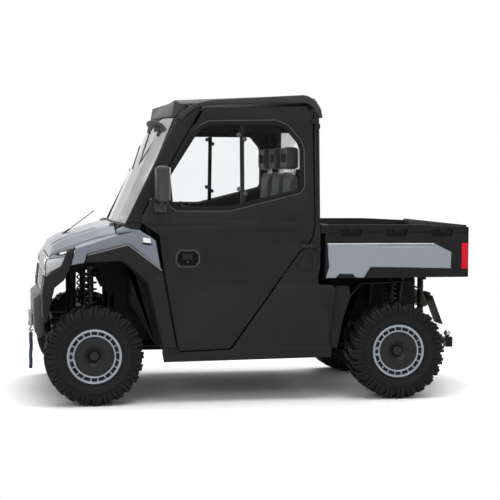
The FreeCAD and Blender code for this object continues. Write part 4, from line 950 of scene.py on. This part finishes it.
def addMirrorTrim():
    bodies = doorTrim["bodies"]
    cap = blockPiece("mirrorCap", *mirrorTrim["cap"], 0.0062, 4)
    bothSides(cap, "mirrorCap", bodies, "cap_plastic")
    glass = blockPiece("mirrorGlass", *mirrorTrim["glass"], 0.001, 2)
    bothSides(glass, "mirrorGlass", bodies, "mirror_face")
    y = skin["side"] - mirrorTrim["boltStand"]
    bolts = [boltPiece((x, y, z), (0, -1, 0), mirrorTrim["boltSize"])
             for x, z in fromFront(mirrorTrim["bolts"])]
    bothSides(joinPieces("mirrorBolts", bolts), "mirrorBolts", bodies, "black_hardware")


hinge = {"x": rearX(-0.56), "reach": (0.045, 0.092), "stand": 0.018, "height": 1.038, "boltSize": 0.0065}


def addHinges():
    y = skin["side"] - hinge["stand"]
    bolts = [boltPiece((hinge["x"] - reach, y, hinge["height"]), (0, -1, 0), hinge["boltSize"])
             for reach in hinge["reach"]]
    bothSides(joinPieces("hingeBolts", bolts), "hingeBolts", doorTrim["bodies"], "black_hardware")


# Inner panels close the wheel houses, and the sill runs behind the doors' lower edges

innerPanels = {
    "frontSplashPanel": {
        "outline": fromFront([(0.163, 0.935), (0.257, 0.935), (0.257, 0.640), (0.408, 0.412), (0.335, 0.395),
                              (0.235, 0.530), (0.163, 0.530)]),
        "depth": (-0.352, -0.346), "edge": 0.002,
    },
    "towerShroud": {
        "outline": fromFront([(-0.140, 0.935), (0.165, 0.935), (0.165, 0.690), (0.125, 0.690), (0.085, 0.770),
                              (0.058, 0.770), (0.058, 0.872), (-0.040, 0.872), (-0.040, 0.845),
                              (-0.140, 0.845)]),
        "depth": (-0.352, -0.346), "edge": 0.002,
    },
    "footwellSide": {
        "outline": fromFront([(0.214, 0.921), (0.339, 0.801), (0.352, 0.788), (0.445, 0.372), (0.418, 0.364),
                              (0.262, 0.638), (0.262, 0.905)]),
        "depth": (-0.6436, -0.6396), "edge": 0.001,
    },
    "rearSplashPanel": {
        "outline": fromRear([(-0.475, 0.812), (0.262, 0.812), (0.280, 0.770), (0.280, 0.560), (0.245, 0.470),
                             (-0.475, 0.470)]),
        "depth": (-0.243, -0.237), "edge": 0.002,
    },
    "sillFlange": {
        "outline": [(-0.697, 0.334), (-0.697, 0.392), (-0.690, 0.397), (-0.652, 0.397), (-0.648, 0.334)],
        "axis": "X", "depth": (frontX(0.552), rearX(-0.64)), "edge": 0.003,
    },
    "flareFoot": {
        "outline": fromFront([(0.4505, 0.3725), (0.5395, 0.3695), (0.5605, 0.3445), (0.5655, 0.336),
                              (0.4505, 0.338)]),
        "depth": (-0.757, -0.722), "edge": 0.003, "finish": "matt_shell", "slot": "matt_shell",
    },
    "pillarGasket": {
        "outline": fromFront([(0.400, 1.400), (0.590, 1.770), (0.640, 1.860), (0.705, 1.860), (0.660, 1.790),
                              (0.515, 1.520), (0.470, 1.400)]),
        "depth": (-0.693, -0.689), "edge": 0.001, "segments": 1, "leans": True,
    },
    "roofLiner": {
        "outline": [(-0.583, 1.792), (-0.594, 1.800), (-0.594, 1.874), (-0.580, 1.882), (-0.566, 1.878),
                    (-0.566, 1.797)],
        "axis": "X", "depth": (frontX(0.640), rearX(-0.665)), "edge": 0.004,
    },
}

# A rounded rim along the roof's side edges, a light strip along the flare's top edge as its painted
# highlight, and the fender's edge

outerPanels = {
    "roofRim": {
        "outline": (fromFront([(0.545, 1.884), (0.581, 1.925), (0.632, 1.961), (0.704, 1.989),
                               (0.786, 2.006)])
                    + fromRear([(-0.653, 2.045), (-0.620, 2.040), (-0.590, 2.024), (-0.560, 1.999),
                                (-0.538, 1.966), (-0.524, 1.930), (-0.517, 1.893), (-0.545, 1.893),
                                (-0.556, 1.925), (-0.582, 1.962), (-0.612, 1.986), (-0.650, 1.996)])
                    + fromFront([(0.790, 1.976), (0.735, 1.968), (0.672, 1.946), (0.622, 1.913),
                                 (0.582, 1.868)])),
        "depth": (-0.7015, -0.676), "edge": 0.0075, "segments": 3, "finish": "roof_skin",
        "slot": "matt_shell",
    },
    # a light strip along the flare's top edge, painted as its highlight
    "flareHighlightStrip": {
        "outline": fromFront([(-0.044, 0.990), (0.222, 1.056), (0.435, 0.895), (0.446, 0.883), (0.441, 0.877),
                              (0.429, 0.8875), (0.2205, 1.0475), (-0.043, 0.983)]),
        "depth": (-0.7755, -0.766), "edge": 0.0018, "finish": "edge_light", "slot": "matt_shell",
    },
    # the fender's crest wears the fender's darker paint copy, painted shade
    "fenderCrest": {
        "outline": fromFront([(0.153, 1.124), (0.218, 1.131), (0.300, 1.142), (0.293, 1.148), (0.243, 1.153),
                              (0.187, 1.172), (0.144, 1.144)]),
        "depth": (-0.7515, -0.7005), "edge": 0.0025, "finish": "fender_paint", "slot": "blue_shell",
    },
}

mast = {      # ends as (metres behind the front axle, height), with the rod's radius
    "rods": (((-0.181, 1.080), (-0.113, 1.128), 0.0062), ((-0.116, 1.126), (0.047, 1.248), 0.0031)),
    "tip": [(-0.004, 0.0035), (-0.002, 0.0048), (0.004, 0.0048), (0.006, 0.003)],
    "tipPlace": (frontX(0.047), 0, 1.248),
    "tipAim": (0.8, 0, 0.6),
}

# dark strips along the hood's grooves, painted shade
hoodGrooveShade = {
    "line": [(-0.253, 1.041), (-0.193, 1.077), (-0.127, 1.098), (0.041, 1.151), (0.140, 1.1733)],
    "fall": (0.00075, 0.001, 0.001, 0.001, 0.001),
    "sides": (0.1632, 0.1748),
    "stand": 0.0007,
}


def addPanels():
    addPlates(innerPanels)
    addPlates(outerPanels)


def addMast():
    parts = []
    for start, end, radius in mast["rods"]:
        reach = Vector((end[0] - start[0], 0, end[1] - start[1]))
        rod = turnPiece("mast", [(0, radius), (reach.length - radius, radius * 0.9),
                                 (reach.length, radius * 0.4)], 16)
        parts.append(aim(rod, (frontX(start[0]), 0, start[1]), reach))
    parts.append(aim(turnPiece("mastTip", mast["tip"], 16), mast["tipPlace"], mast["tipAim"]))
    piece = joinPieces("antennaMast", parts)
    smooth(piece, 40)
    dress(piece, bodyOf["antenna"], "seal")


def addHoodGrooveShade():      # dark strips in the hood's grooves: painted shade
    line = [(frontX(x), z - fall) for (x, z), fall in zip(hoodGrooveShade["line"], hoodGrooveShade["fall"])]
    stand = hoodGrooveShade["stand"]
    outline = [(x, z + stand) for x, z in line] + [(x, z - stand) for x, z in reversed(line)]
    low, high = hoodGrooveShade["sides"]
    shadeStrip = outlinePiece("hoodGrooveShade", outline, "Y", -high, -low)
    bothSides(shadeStrip, "hoodGrooveShade", "hood", "seal")


# Running gear: boots on the shafts, brake discs, pivot bolts

gear = {
    # each shaft's inner and outer end and the height of the inner one
    "shafts": {"front": (0.090, 0.600, 0.372), "rear": (0.100, 0.541, 0.372)},
    "fall": 0.047 / 0.510,
    "bootGap": {"front": 0.082, "rear": 0.034},      # clear of the hub that the shaft enters
    "nearBoot": (0.095, 0.036, 0.0145, 6),           # length, wide and narrow radius, ribs
    "farBoot": (0.075, 0.030, 0.0145, 5),
    "eyeSide": 0.2513,
    "eyes": {"front": (0.125, 0.110), "rear": (0.140, 0.120)},      # half spread of the low and high arms
    "eyeHeights": (0.320, 0.500),
    "eyeHalf": 0.0262,
    "boltSize": 0.0095,
}

brake = {
    "side": -0.668,
    "disc": [(-0.012, 0.034), (-0.012, 0.052), (-0.003, 0.054), (-0.003, 0.098), (-0.002, 0.1), (0.002, 0.1),
             (0.003, 0.098), (0.003, 0.054), (0.002, 0.034), (-0.012, 0.034)],
    "caliper": [(-0.112, 0.012), (-0.112, 0.062), (-0.084, 0.088), (-0.054, 0.062), (-0.054, 0.012)],
    "caliperDepth": (-0.690, -0.646),
    "arm": ((-0.07, -0.650, 0.018), (-0.03, -0.640, 0.052)),      # X and Z off the axle
}


def bootPiece(length, wide, narrow, ribs):
    profile = [(0, narrow * 0.9), (0.0005, wide * 1.04), (0.012, wide * 1.04), (0.0125, wide * 0.95)]
    pitch = (length - 0.028) / ribs
    for i in range(ribs):
        share = (i + 0.5) / ribs
        crest = wide + (narrow * 1.35 - wide) * share
        start = 0.014 + (length - 0.028) * i / ribs
        profile += [(start + pitch * 0.1, crest * 0.78), (start + pitch * 0.4, crest),
                    (start + pitch * 0.6, crest), (start + pitch * 0.9, crest * 0.76)]
    profile += [(length - 0.013, narrow * 1.1), (length - 0.001, narrow * 1.1), (length, narrow * 0.95)]
    return turnPiece("boot", profile, 28)


def addBoots():
    fall = gear["fall"]
    for end, (inner, outer, height) in gear["shafts"].items():
        x = wheels[end]["x"]
        near = aim(bootPiece(*gear["nearBoot"]), (x, -inner - 0.001, height), (0, -1, -fall))
        farStart = outer - gear["bootGap"][end]
        farHeight = height - fall * (farStart - inner)
        far = aim(bootPiece(*gear["farBoot"]), (x, -farStart, farHeight), (0, 1, fall))
        bothSides(joinPieces(end + "Boots", [near, far]), end + "Boots", "chassis", "seal")


def addBrakes():
    for end, wheel in wheels.items():
        x, z = wheel["x"], tyre["axleHeight"]
        disc = turnPiece("brakeDisc", brake["disc"], 56, closed=True)
        aim(disc, (x, brake["side"], z), (0, -1, 0))
        bothSides(disc, end + "BrakeDisc", (f"wheel_{end}_left", f"wheel_{end}_right"), "hardware")
        outline = [(x + along, z + high) for along, high in brake["caliper"]]
        body = outlinePiece("caliper", outline, "Y", *brake["caliperDepth"], 0.006)
        corners = [(x + along, y, z + high) for along, y, high in brake["arm"]]
        arm = blockPiece("caliperArm", *corners, 0.003)
        carriers = ("knuckle_left", "knuckle_right") if end == "front" else "chassis"
        bothSides(joinPieces("caliper", [body, arm]), end + "Caliper", carriers, "engine_casting")


def addPivotBolts():
    bolts = []
    for end, spreads in gear["eyes"].items():
        for spread, height in zip(spreads, gear["eyeHeights"]):
            for s in (-1, 1):
                for face in (-1, 1):
                    spot = (wheels[end]["x"] + s * spread + face * gear["eyeHalf"], -gear["eyeSide"], height)
                    bolts.append(boltPiece(spot, (face, 0, 0), gear["boltSize"]))
    bothSides(joinPieces("pivotBolts", bolts), "pivotBolts", "chassis", "hardware")


# Bed floor ribs, nose and tail details

bedRibs = {
    "count": 11,
    "pitch": 0.112,
    "halfFoot": 0.024,
    "halfTop": 0.018,
    "height": 0.006,
    "sunk": 0.001,
    "floor": 0.88,
    "ends": (rearX(-0.45), rearX(0.448)),
}


def addBedRibs():
    ribs = []
    foot, top = bedRibs["halfFoot"], bedRibs["halfTop"]
    low, high = bedRibs["floor"] - bedRibs["sunk"], bedRibs["floor"] + bedRibs["height"]
    for i in range(bedRibs["count"]):
        y = (i - (bedRibs["count"] - 1) / 2) * bedRibs["pitch"]
        section = [(y - foot, low), (y - top, high), (y + top, high), (y + foot, low)]
        ribs.append(outlinePiece("rib", section, "X", *bedRibs["ends"], 0.0015))
    piece = joinPieces("bedFloorRibs", ribs)
    smooth(piece, 35)
    dress(piece, "bed", "bed_plastic")


lamps = {
    "outline": fromFront([(-0.167, 0.976), (-0.299, 0.957), (-0.309, 0.932), (-0.312, 0.842), (-0.251, 0.878),
                          (-0.201, 0.903)]),
    "bezelDepth": (-0.6425, -0.6385),
    "lenses": ((-0.585, 0.905), (-0.505, 0.912)),
    "lensFace": frontX(-0.3115),
    "lens": [(0, 0.031), (0.004, 0.031), (0.0045, 0.0265), (0.0015, 0.0255), (0.003, 0.017), (0.006, 0.007),
             (0.0065, 0.002)],
}

lampPlates = {
    "dayStrip": {
        "outline": [(-0.632, 0.938), (-0.445, 0.9455), (-0.445, 0.9535), (-0.632, 0.946)],
        "axis": "X", "depth": (frontX(-0.3105), frontX(-0.303)), "edge": 0.0012,
        "finish": "mirror_face", "slot": "lamp_clear",
    },
    "repeaterLens": {
        "outline": fromFront([(0.317, 1.098), (0.321, 1.068), (0.371, 1.062), (0.367, 1.092)]),
        "depth": (-0.7655, -0.7605), "edge": 0.0014, "finish": "repeater_white", "slot": "lamp_clear",
    },
    "repeaterBase": {
        "outline": fromFront([(0.3165, 1.0655), (0.317, 1.0535), (0.3745, 1.0475), (0.374, 1.0595)]),
        "depth": (-0.7662, -0.7605), "edge": 0.001, "slot": "matt_shell",
    },
}


def addLampTrim():
    rim = ringPiece("lampBezel", lamps["outline"], 0.006, *lamps["bezelDepth"], 0.0012)
    bothSides(rim, "lampBezel", "chassis", "cap_plastic")
    lenses = [aim(turnPiece("lens", lamps["lens"], 40), (lamps["lensFace"], y, z), (-1, 0, 0.05))
              for y, z in lamps["lenses"]]
    bothSides(joinPieces("lampLenses", lenses), "lampLenses", "chassis", "hardware")
    addPlates(lampPlates)


tail = {
    "ball": (rearX(0.608), 0, 0.349),
    "ballRadius": 0.02535,
    "ballNeck": (-0.0175, 0.0182),
    "lineHeights": (0.92, 0.965, 1.01),
    "lineEnds": (rearX(0.4565), rearX(0.5025)),
    "lineSides": (-0.7378, -0.7366),
    "lineThickness": 0.003,
}


def addTailTrim():
    turns = [radians(degrees) for degrees in range(-40, 90, 8)]
    dome = [(tail["ballRadius"] * sin(turn), tail["ballRadius"] * cos(turn)) for turn in turns]
    piece = aim(turnPiece("towBallCap", [tail["ballNeck"]] + dome, 40), tail["ball"], (0, 0, 1))
    smooth(piece, 60)
    dress(piece, "chassis", "hardware")
    lines = []
    for height in tail["lineHeights"]:
        corners = list(zip(tail["lineEnds"], tail["lineSides"], (height, height + tail["lineThickness"])))
        lines.append(blockPiece("lampLine", *corners, 0.0004, 1))
    bothSides(joinPieces("tailLampLines", lines), "tailLampLines", "bed", "trim_bead")


# Cab fittings

dash = {
    "pod": ((frontX(0.392), -0.455, 1.206), (frontX(0.462), -0.285, 1.262)),
    "podHood": ((frontX(0.388), -0.465, 1.256), (frontX(0.474), -0.275, 1.270)),
    "screen": ((frontX(0.4615), -0.435, 1.212), (frontX(0.4638), -0.305, 1.252)),
    "vents": (-0.52, -0.08, 0.08, 0.52),
    "ventPlace": (frontX(0.5265), 1.158),
    "ventAim": (0.87, 0, 0.49),
    "vent": [(0, 0.036), (0.008, 0.036), (0.010, 0.033), (0.0101, 0.028), (0.004, 0.027)],
    "lever": [(0, 0.026), (0.012, 0.024), (0.030, 0.009), (0.110, 0.007), (0.116, 0.014), (0.130, 0.020),
              (0.148, 0.019), (0.158, 0.012), (0.161, 0.004)],
    "leverPlace": (frontX(0.505), -0.16, 1.165),
    "leverAim": (0.8, 0, 0.6),
}

pedals = {
    "pads": ((-0.43, 0.045), (-0.30, 0.032)),      # place and half width of the brake and the accelerator
    "outline": fromFront([(0.352, 0.60), (0.362, 0.606), (0.392, 0.526), (0.382, 0.520)]),
    "stalkEnds": (frontX(0.335), frontX(0.352)),
    "stalkHalf": 0.006,
    "stalkHeights": (0.560, 0.905),
}


def addCabFittings():
    parts = [blockPiece("pod", *dash["pod"], 0.012, 4), blockPiece("podHood", *dash["podHood"], 0.006, 3)]
    x, z = dash["ventPlace"]
    for y in dash["vents"]:
        parts.append(aim(turnPiece("vent", dash["vent"], 32), (x, y, z), dash["ventAim"]))
    piece = joinPieces("dashFittings", parts)
    smooth(piece, 35)
    dress(piece, "chassis", "inside_plastic")
    screen = blockPiece("displayScreen", *dash["screen"], 0.0008, 2)
    dress(screen, "chassis", "lamp_glass_dark")
    lever = aim(turnPiece("gearLever", dash["lever"], 24), dash["leverPlace"], dash["leverAim"])
    smooth(lever, 40)
    dress(lever, "chassis", "seal")


def addPedals():
    parts = []
    near, far = pedals["stalkEnds"]
    low, high = pedals["stalkHeights"]
    stalk = pedals["stalkHalf"]
    for y, half in pedals["pads"]:
        parts.append(outlinePiece("pedal", pedals["outline"], "Y", y - half, y + half, 0.003))
        parts.append(blockPiece("stalk", (near, y - stalk, low), (far, y + stalk, high), 0.003))
    piece = joinPieces("pedals", parts)
    smooth(piece, 35)
    dress(piece, "chassis", "seal")


belts = {
    "x": rearX(-0.648),
    "top": 1.52,
    "low": 0.80,
    "halfWidth": 0.024,
    "outer": [(-0.590, 1.30), (-0.592, 1.05)],
    "inner": [(-0.5938, 1.05), (-0.5918, 1.30)],
}


def addBelts():
    x, top, low = belts["x"], belts["top"], belts["low"]
    line = [(-0.598, top), *belts["outer"], (-0.604, low), (-0.6055, low), *belts["inner"], (-0.5998, top)]
    web = outlinePiece("beltWeb", line, "X", x - belts["halfWidth"], x + belts["halfWidth"])
    bothSides(web, "beltWeb", "chassis", "belt_web")
    guide = blockPiece("beltGuide", (x - 0.032, -0.606, top - 0.016), (x + 0.032, -0.590, top + 0.030),
                       0.004, 3)
    anchor = blockPiece("beltAnchor", (x - 0.030, -0.612, low - 0.060), (x + 0.030, -0.594, low + 0.016),
                        0.004, 3)
    bothSides(joinPieces("beltFittings", [guide, anchor]), "beltFittings", "chassis", "seal")


# Clamps that hold the tilting windscreen's top, with the wiper's motor between them

screenClamps = {
    "barrel": [(0, 0.010), (0, 0.019), (0.003, 0.022), (0.010, 0.022), (0.012, 0.017), (0.050, 0.017),
               (0.052, 0.022), (0.060, 0.022), (0.063, 0.019), (0.063, 0.010)],
    "barrelStarts": (-0.300, -0.243),
    "barrelLine": (frontX(0.424), 1.858),
    "hook": fromFront([(0.412, 1.872), (0.452, 1.880), (0.498, 1.856), (0.503, 1.838), (0.455, 1.848),
                       (0.432, 1.815), (0.418, 1.793), (0.404, 1.797), (0.412, 1.828)]),
    "hooks": (-0.290, -0.200),
    "hookHalf": 0.008,
    "motor": ((frontX(0.450), -0.282, 1.795), (frontX(0.518), -0.208, 1.872)),
    "arm": [(0, 0.009), (0.010, 0.009), (0.014, 0.0055), (0.30, 0.0035), (0.302, 0.002)],
    "armPlace": (frontX(0.420), -0.240, 1.800),
    "armAim": (-0.09, 0.06, -0.30),
    "blade": fromFront([(0.300, 1.545), (0.310, 1.548), (0.362, 1.708), (0.352, 1.705)]),
    "bladeDepth": (-0.205, -0.196),
}


def addScreenClamps():
    parts = []
    x, z = screenClamps["barrelLine"]
    for start in screenClamps["barrelStarts"]:
        parts.append(aim(turnPiece("barrel", screenClamps["barrel"], 28), (x, start, z), (0, 1, 0)))
    half = screenClamps["hookHalf"]
    for y in screenClamps["hooks"]:
        parts.append(outlinePiece("clampHook", screenClamps["hook"], "Y", y - half, y + half, 0.003))
    parts.append(blockPiece("motorCase", *screenClamps["motor"], 0.010, 3))
    arm = turnPiece("wiperArm", screenClamps["arm"], 16)
    parts.append(aim(arm, screenClamps["armPlace"], screenClamps["armAim"]))
    parts.append(outlinePiece("wiperBlade", screenClamps["blade"], "Y", *screenClamps["bladeDepth"], 0.0015))
    piece = joinPieces("screenClamps", parts)
    smooth(piece, 35)
    dress(piece, "chassis", "trim_bead")
    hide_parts("wiper")


# Floor, light and background

studio = {
    "floorSize": 120,
    "shadowReach": 1.6,
    "whiteFrom": 3.4,
    "worldLight": 0.46,
    "top": {"place": (0.2, 0.2, 6.0), "size": (7.0, 7.0), "power": 640},
    "side": {"place": (-4.5, -7.5, 4.6), "size": (5.0, 3.0), "power": 190},
    "rear": {"place": (6.0, 4.0, 3.6), "size": (4.0, 3.0), "power": 90},
    "lampAim": (0, 0, 0.9),
}


def addWorld():
    world = bpy.data.worlds.new("studioWorld")
    bpy.context.scene.world = world
    world.use_nodes = True
    tree = world.node_tree
    tree.nodes.clear()
    light = tree.nodes.new("ShaderNodeBackground")
    light.inputs["Strength"].default_value = studio["worldLight"]
    light.inputs["Color"].default_value = (1, 1, 1, 1)
    white = tree.nodes.new("ShaderNodeBackground")
    white.inputs["Color"].default_value = (1, 1, 1, 1)
    white.inputs["Strength"].default_value = 1
    path = tree.nodes.new("ShaderNodeLightPath")
    seen = tree.nodes.new("ShaderNodeMath")
    seen.operation = "MAXIMUM"
    tree.links.new(path.outputs["Is Camera Ray"], seen.inputs[0])
    tree.links.new(path.outputs["Is Glossy Ray"], seen.inputs[1])
    either = tree.nodes.new("ShaderNodeMath")
    either.operation = "MAXIMUM"
    tree.links.new(seen.outputs[0], either.inputs[0])
    tree.links.new(path.outputs["Is Transmission Ray"], either.inputs[1])
    mix = tree.nodes.new("ShaderNodeMixShader")
    tree.links.new(either.outputs[0], mix.inputs["Fac"])
    tree.links.new(light.outputs[0], mix.inputs[1])
    tree.links.new(white.outputs[0], mix.inputs[2])
    output = tree.nodes.new("ShaderNodeOutputWorld")
    tree.links.new(mix.outputs[0], output.inputs["Surface"])


def addLamp(name):
    setting = studio[name]
    data = bpy.data.lights.new(name + "Lamp", "AREA")
    data.shape = "RECTANGLE"
    data.size, data.size_y = setting["size"]
    data.energy = setting["power"]
    lamp = bpy.data.objects.new(name + "Lamp", data)
    lamp.location = setting["place"]
    reach = Vector(studio["lampAim"]) - Vector(setting["place"])
    lamp.rotation_euler = reach.to_track_quat("-Z", "Y").to_euler()
    bpy.context.scene.collection.objects.link(lamp)


def addFloor():
    bpy.ops.mesh.primitive_plane_add(size=studio["floorSize"], location=(0, 0, 0))
    floor = rename("studioFloor")
    material, tree, shader, place = newFinish("studioFloor")
    tree.links.new(tint(tree, noise(tree, place, 0.4), (0.93, 0.93, 0.93), (0.95, 0.95, 0.95)),
                   shader.inputs["Base Color"])
    shader.inputs["Roughness"].default_value = 0.8
    shader.inputs["Specular IOR Level"].default_value = 0.1
    glow = tree.nodes.new("ShaderNodeEmission")
    distance = tree.nodes.new("ShaderNodeVectorMath")
    distance.operation = "LENGTH"
    tree.links.new(place, distance.inputs[0])
    fade = tree.nodes.new("ShaderNodeMapRange")      # the floor turns to plain white away from the vehicle
    fade.inputs["From Min"].default_value = studio["shadowReach"]
    fade.inputs["From Max"].default_value = studio["whiteFrom"]
    fade.inputs["To Min"].default_value = 0.0
    tree.links.new(distance.outputs["Value"], fade.inputs["Value"])
    mix = tree.nodes.new("ShaderNodeMixShader")
    tree.links.new(fade.outputs["Result"], mix.inputs["Fac"])
    tree.links.new(shader.outputs["BSDF"], mix.inputs[1])
    tree.links.new(glow.outputs[0], mix.inputs[2])
    tree.links.new(mix.outputs[0], tree.nodes["Material Output"].inputs["Surface"])
    floor.data.materials.append(material)


addCamera()
hangStrap()
print("camera and strap placed")
addTyres()
print("tyres built")
addRims()
print("rims painted")
addCushions()
addBacks()
addHeadrests()
print("seats padded")
for name, width in edgeRounding.items():
    roundEdges(name, width)
print("panels rounded")
for make in (addDoorTrim, addMirrorTrim, addHinges, addPanels, addMast, addHoodGrooveShade, addLampTrim,
             addTailTrim):
    make()
print("body trim fitted")
for make in (addBoots, addBrakes, addPivotBolts, addBedRibs, addCabFittings, addPedals, addBelts,
             addScreenClamps):
    make()
print("running gear, bed and cab fitted")
addWorld()
for name in ("top", "side", "rear"):
    addLamp(name)
addFloor()
bpy.context.scene.view_settings.view_transform = "Standard"
print("studio ready")
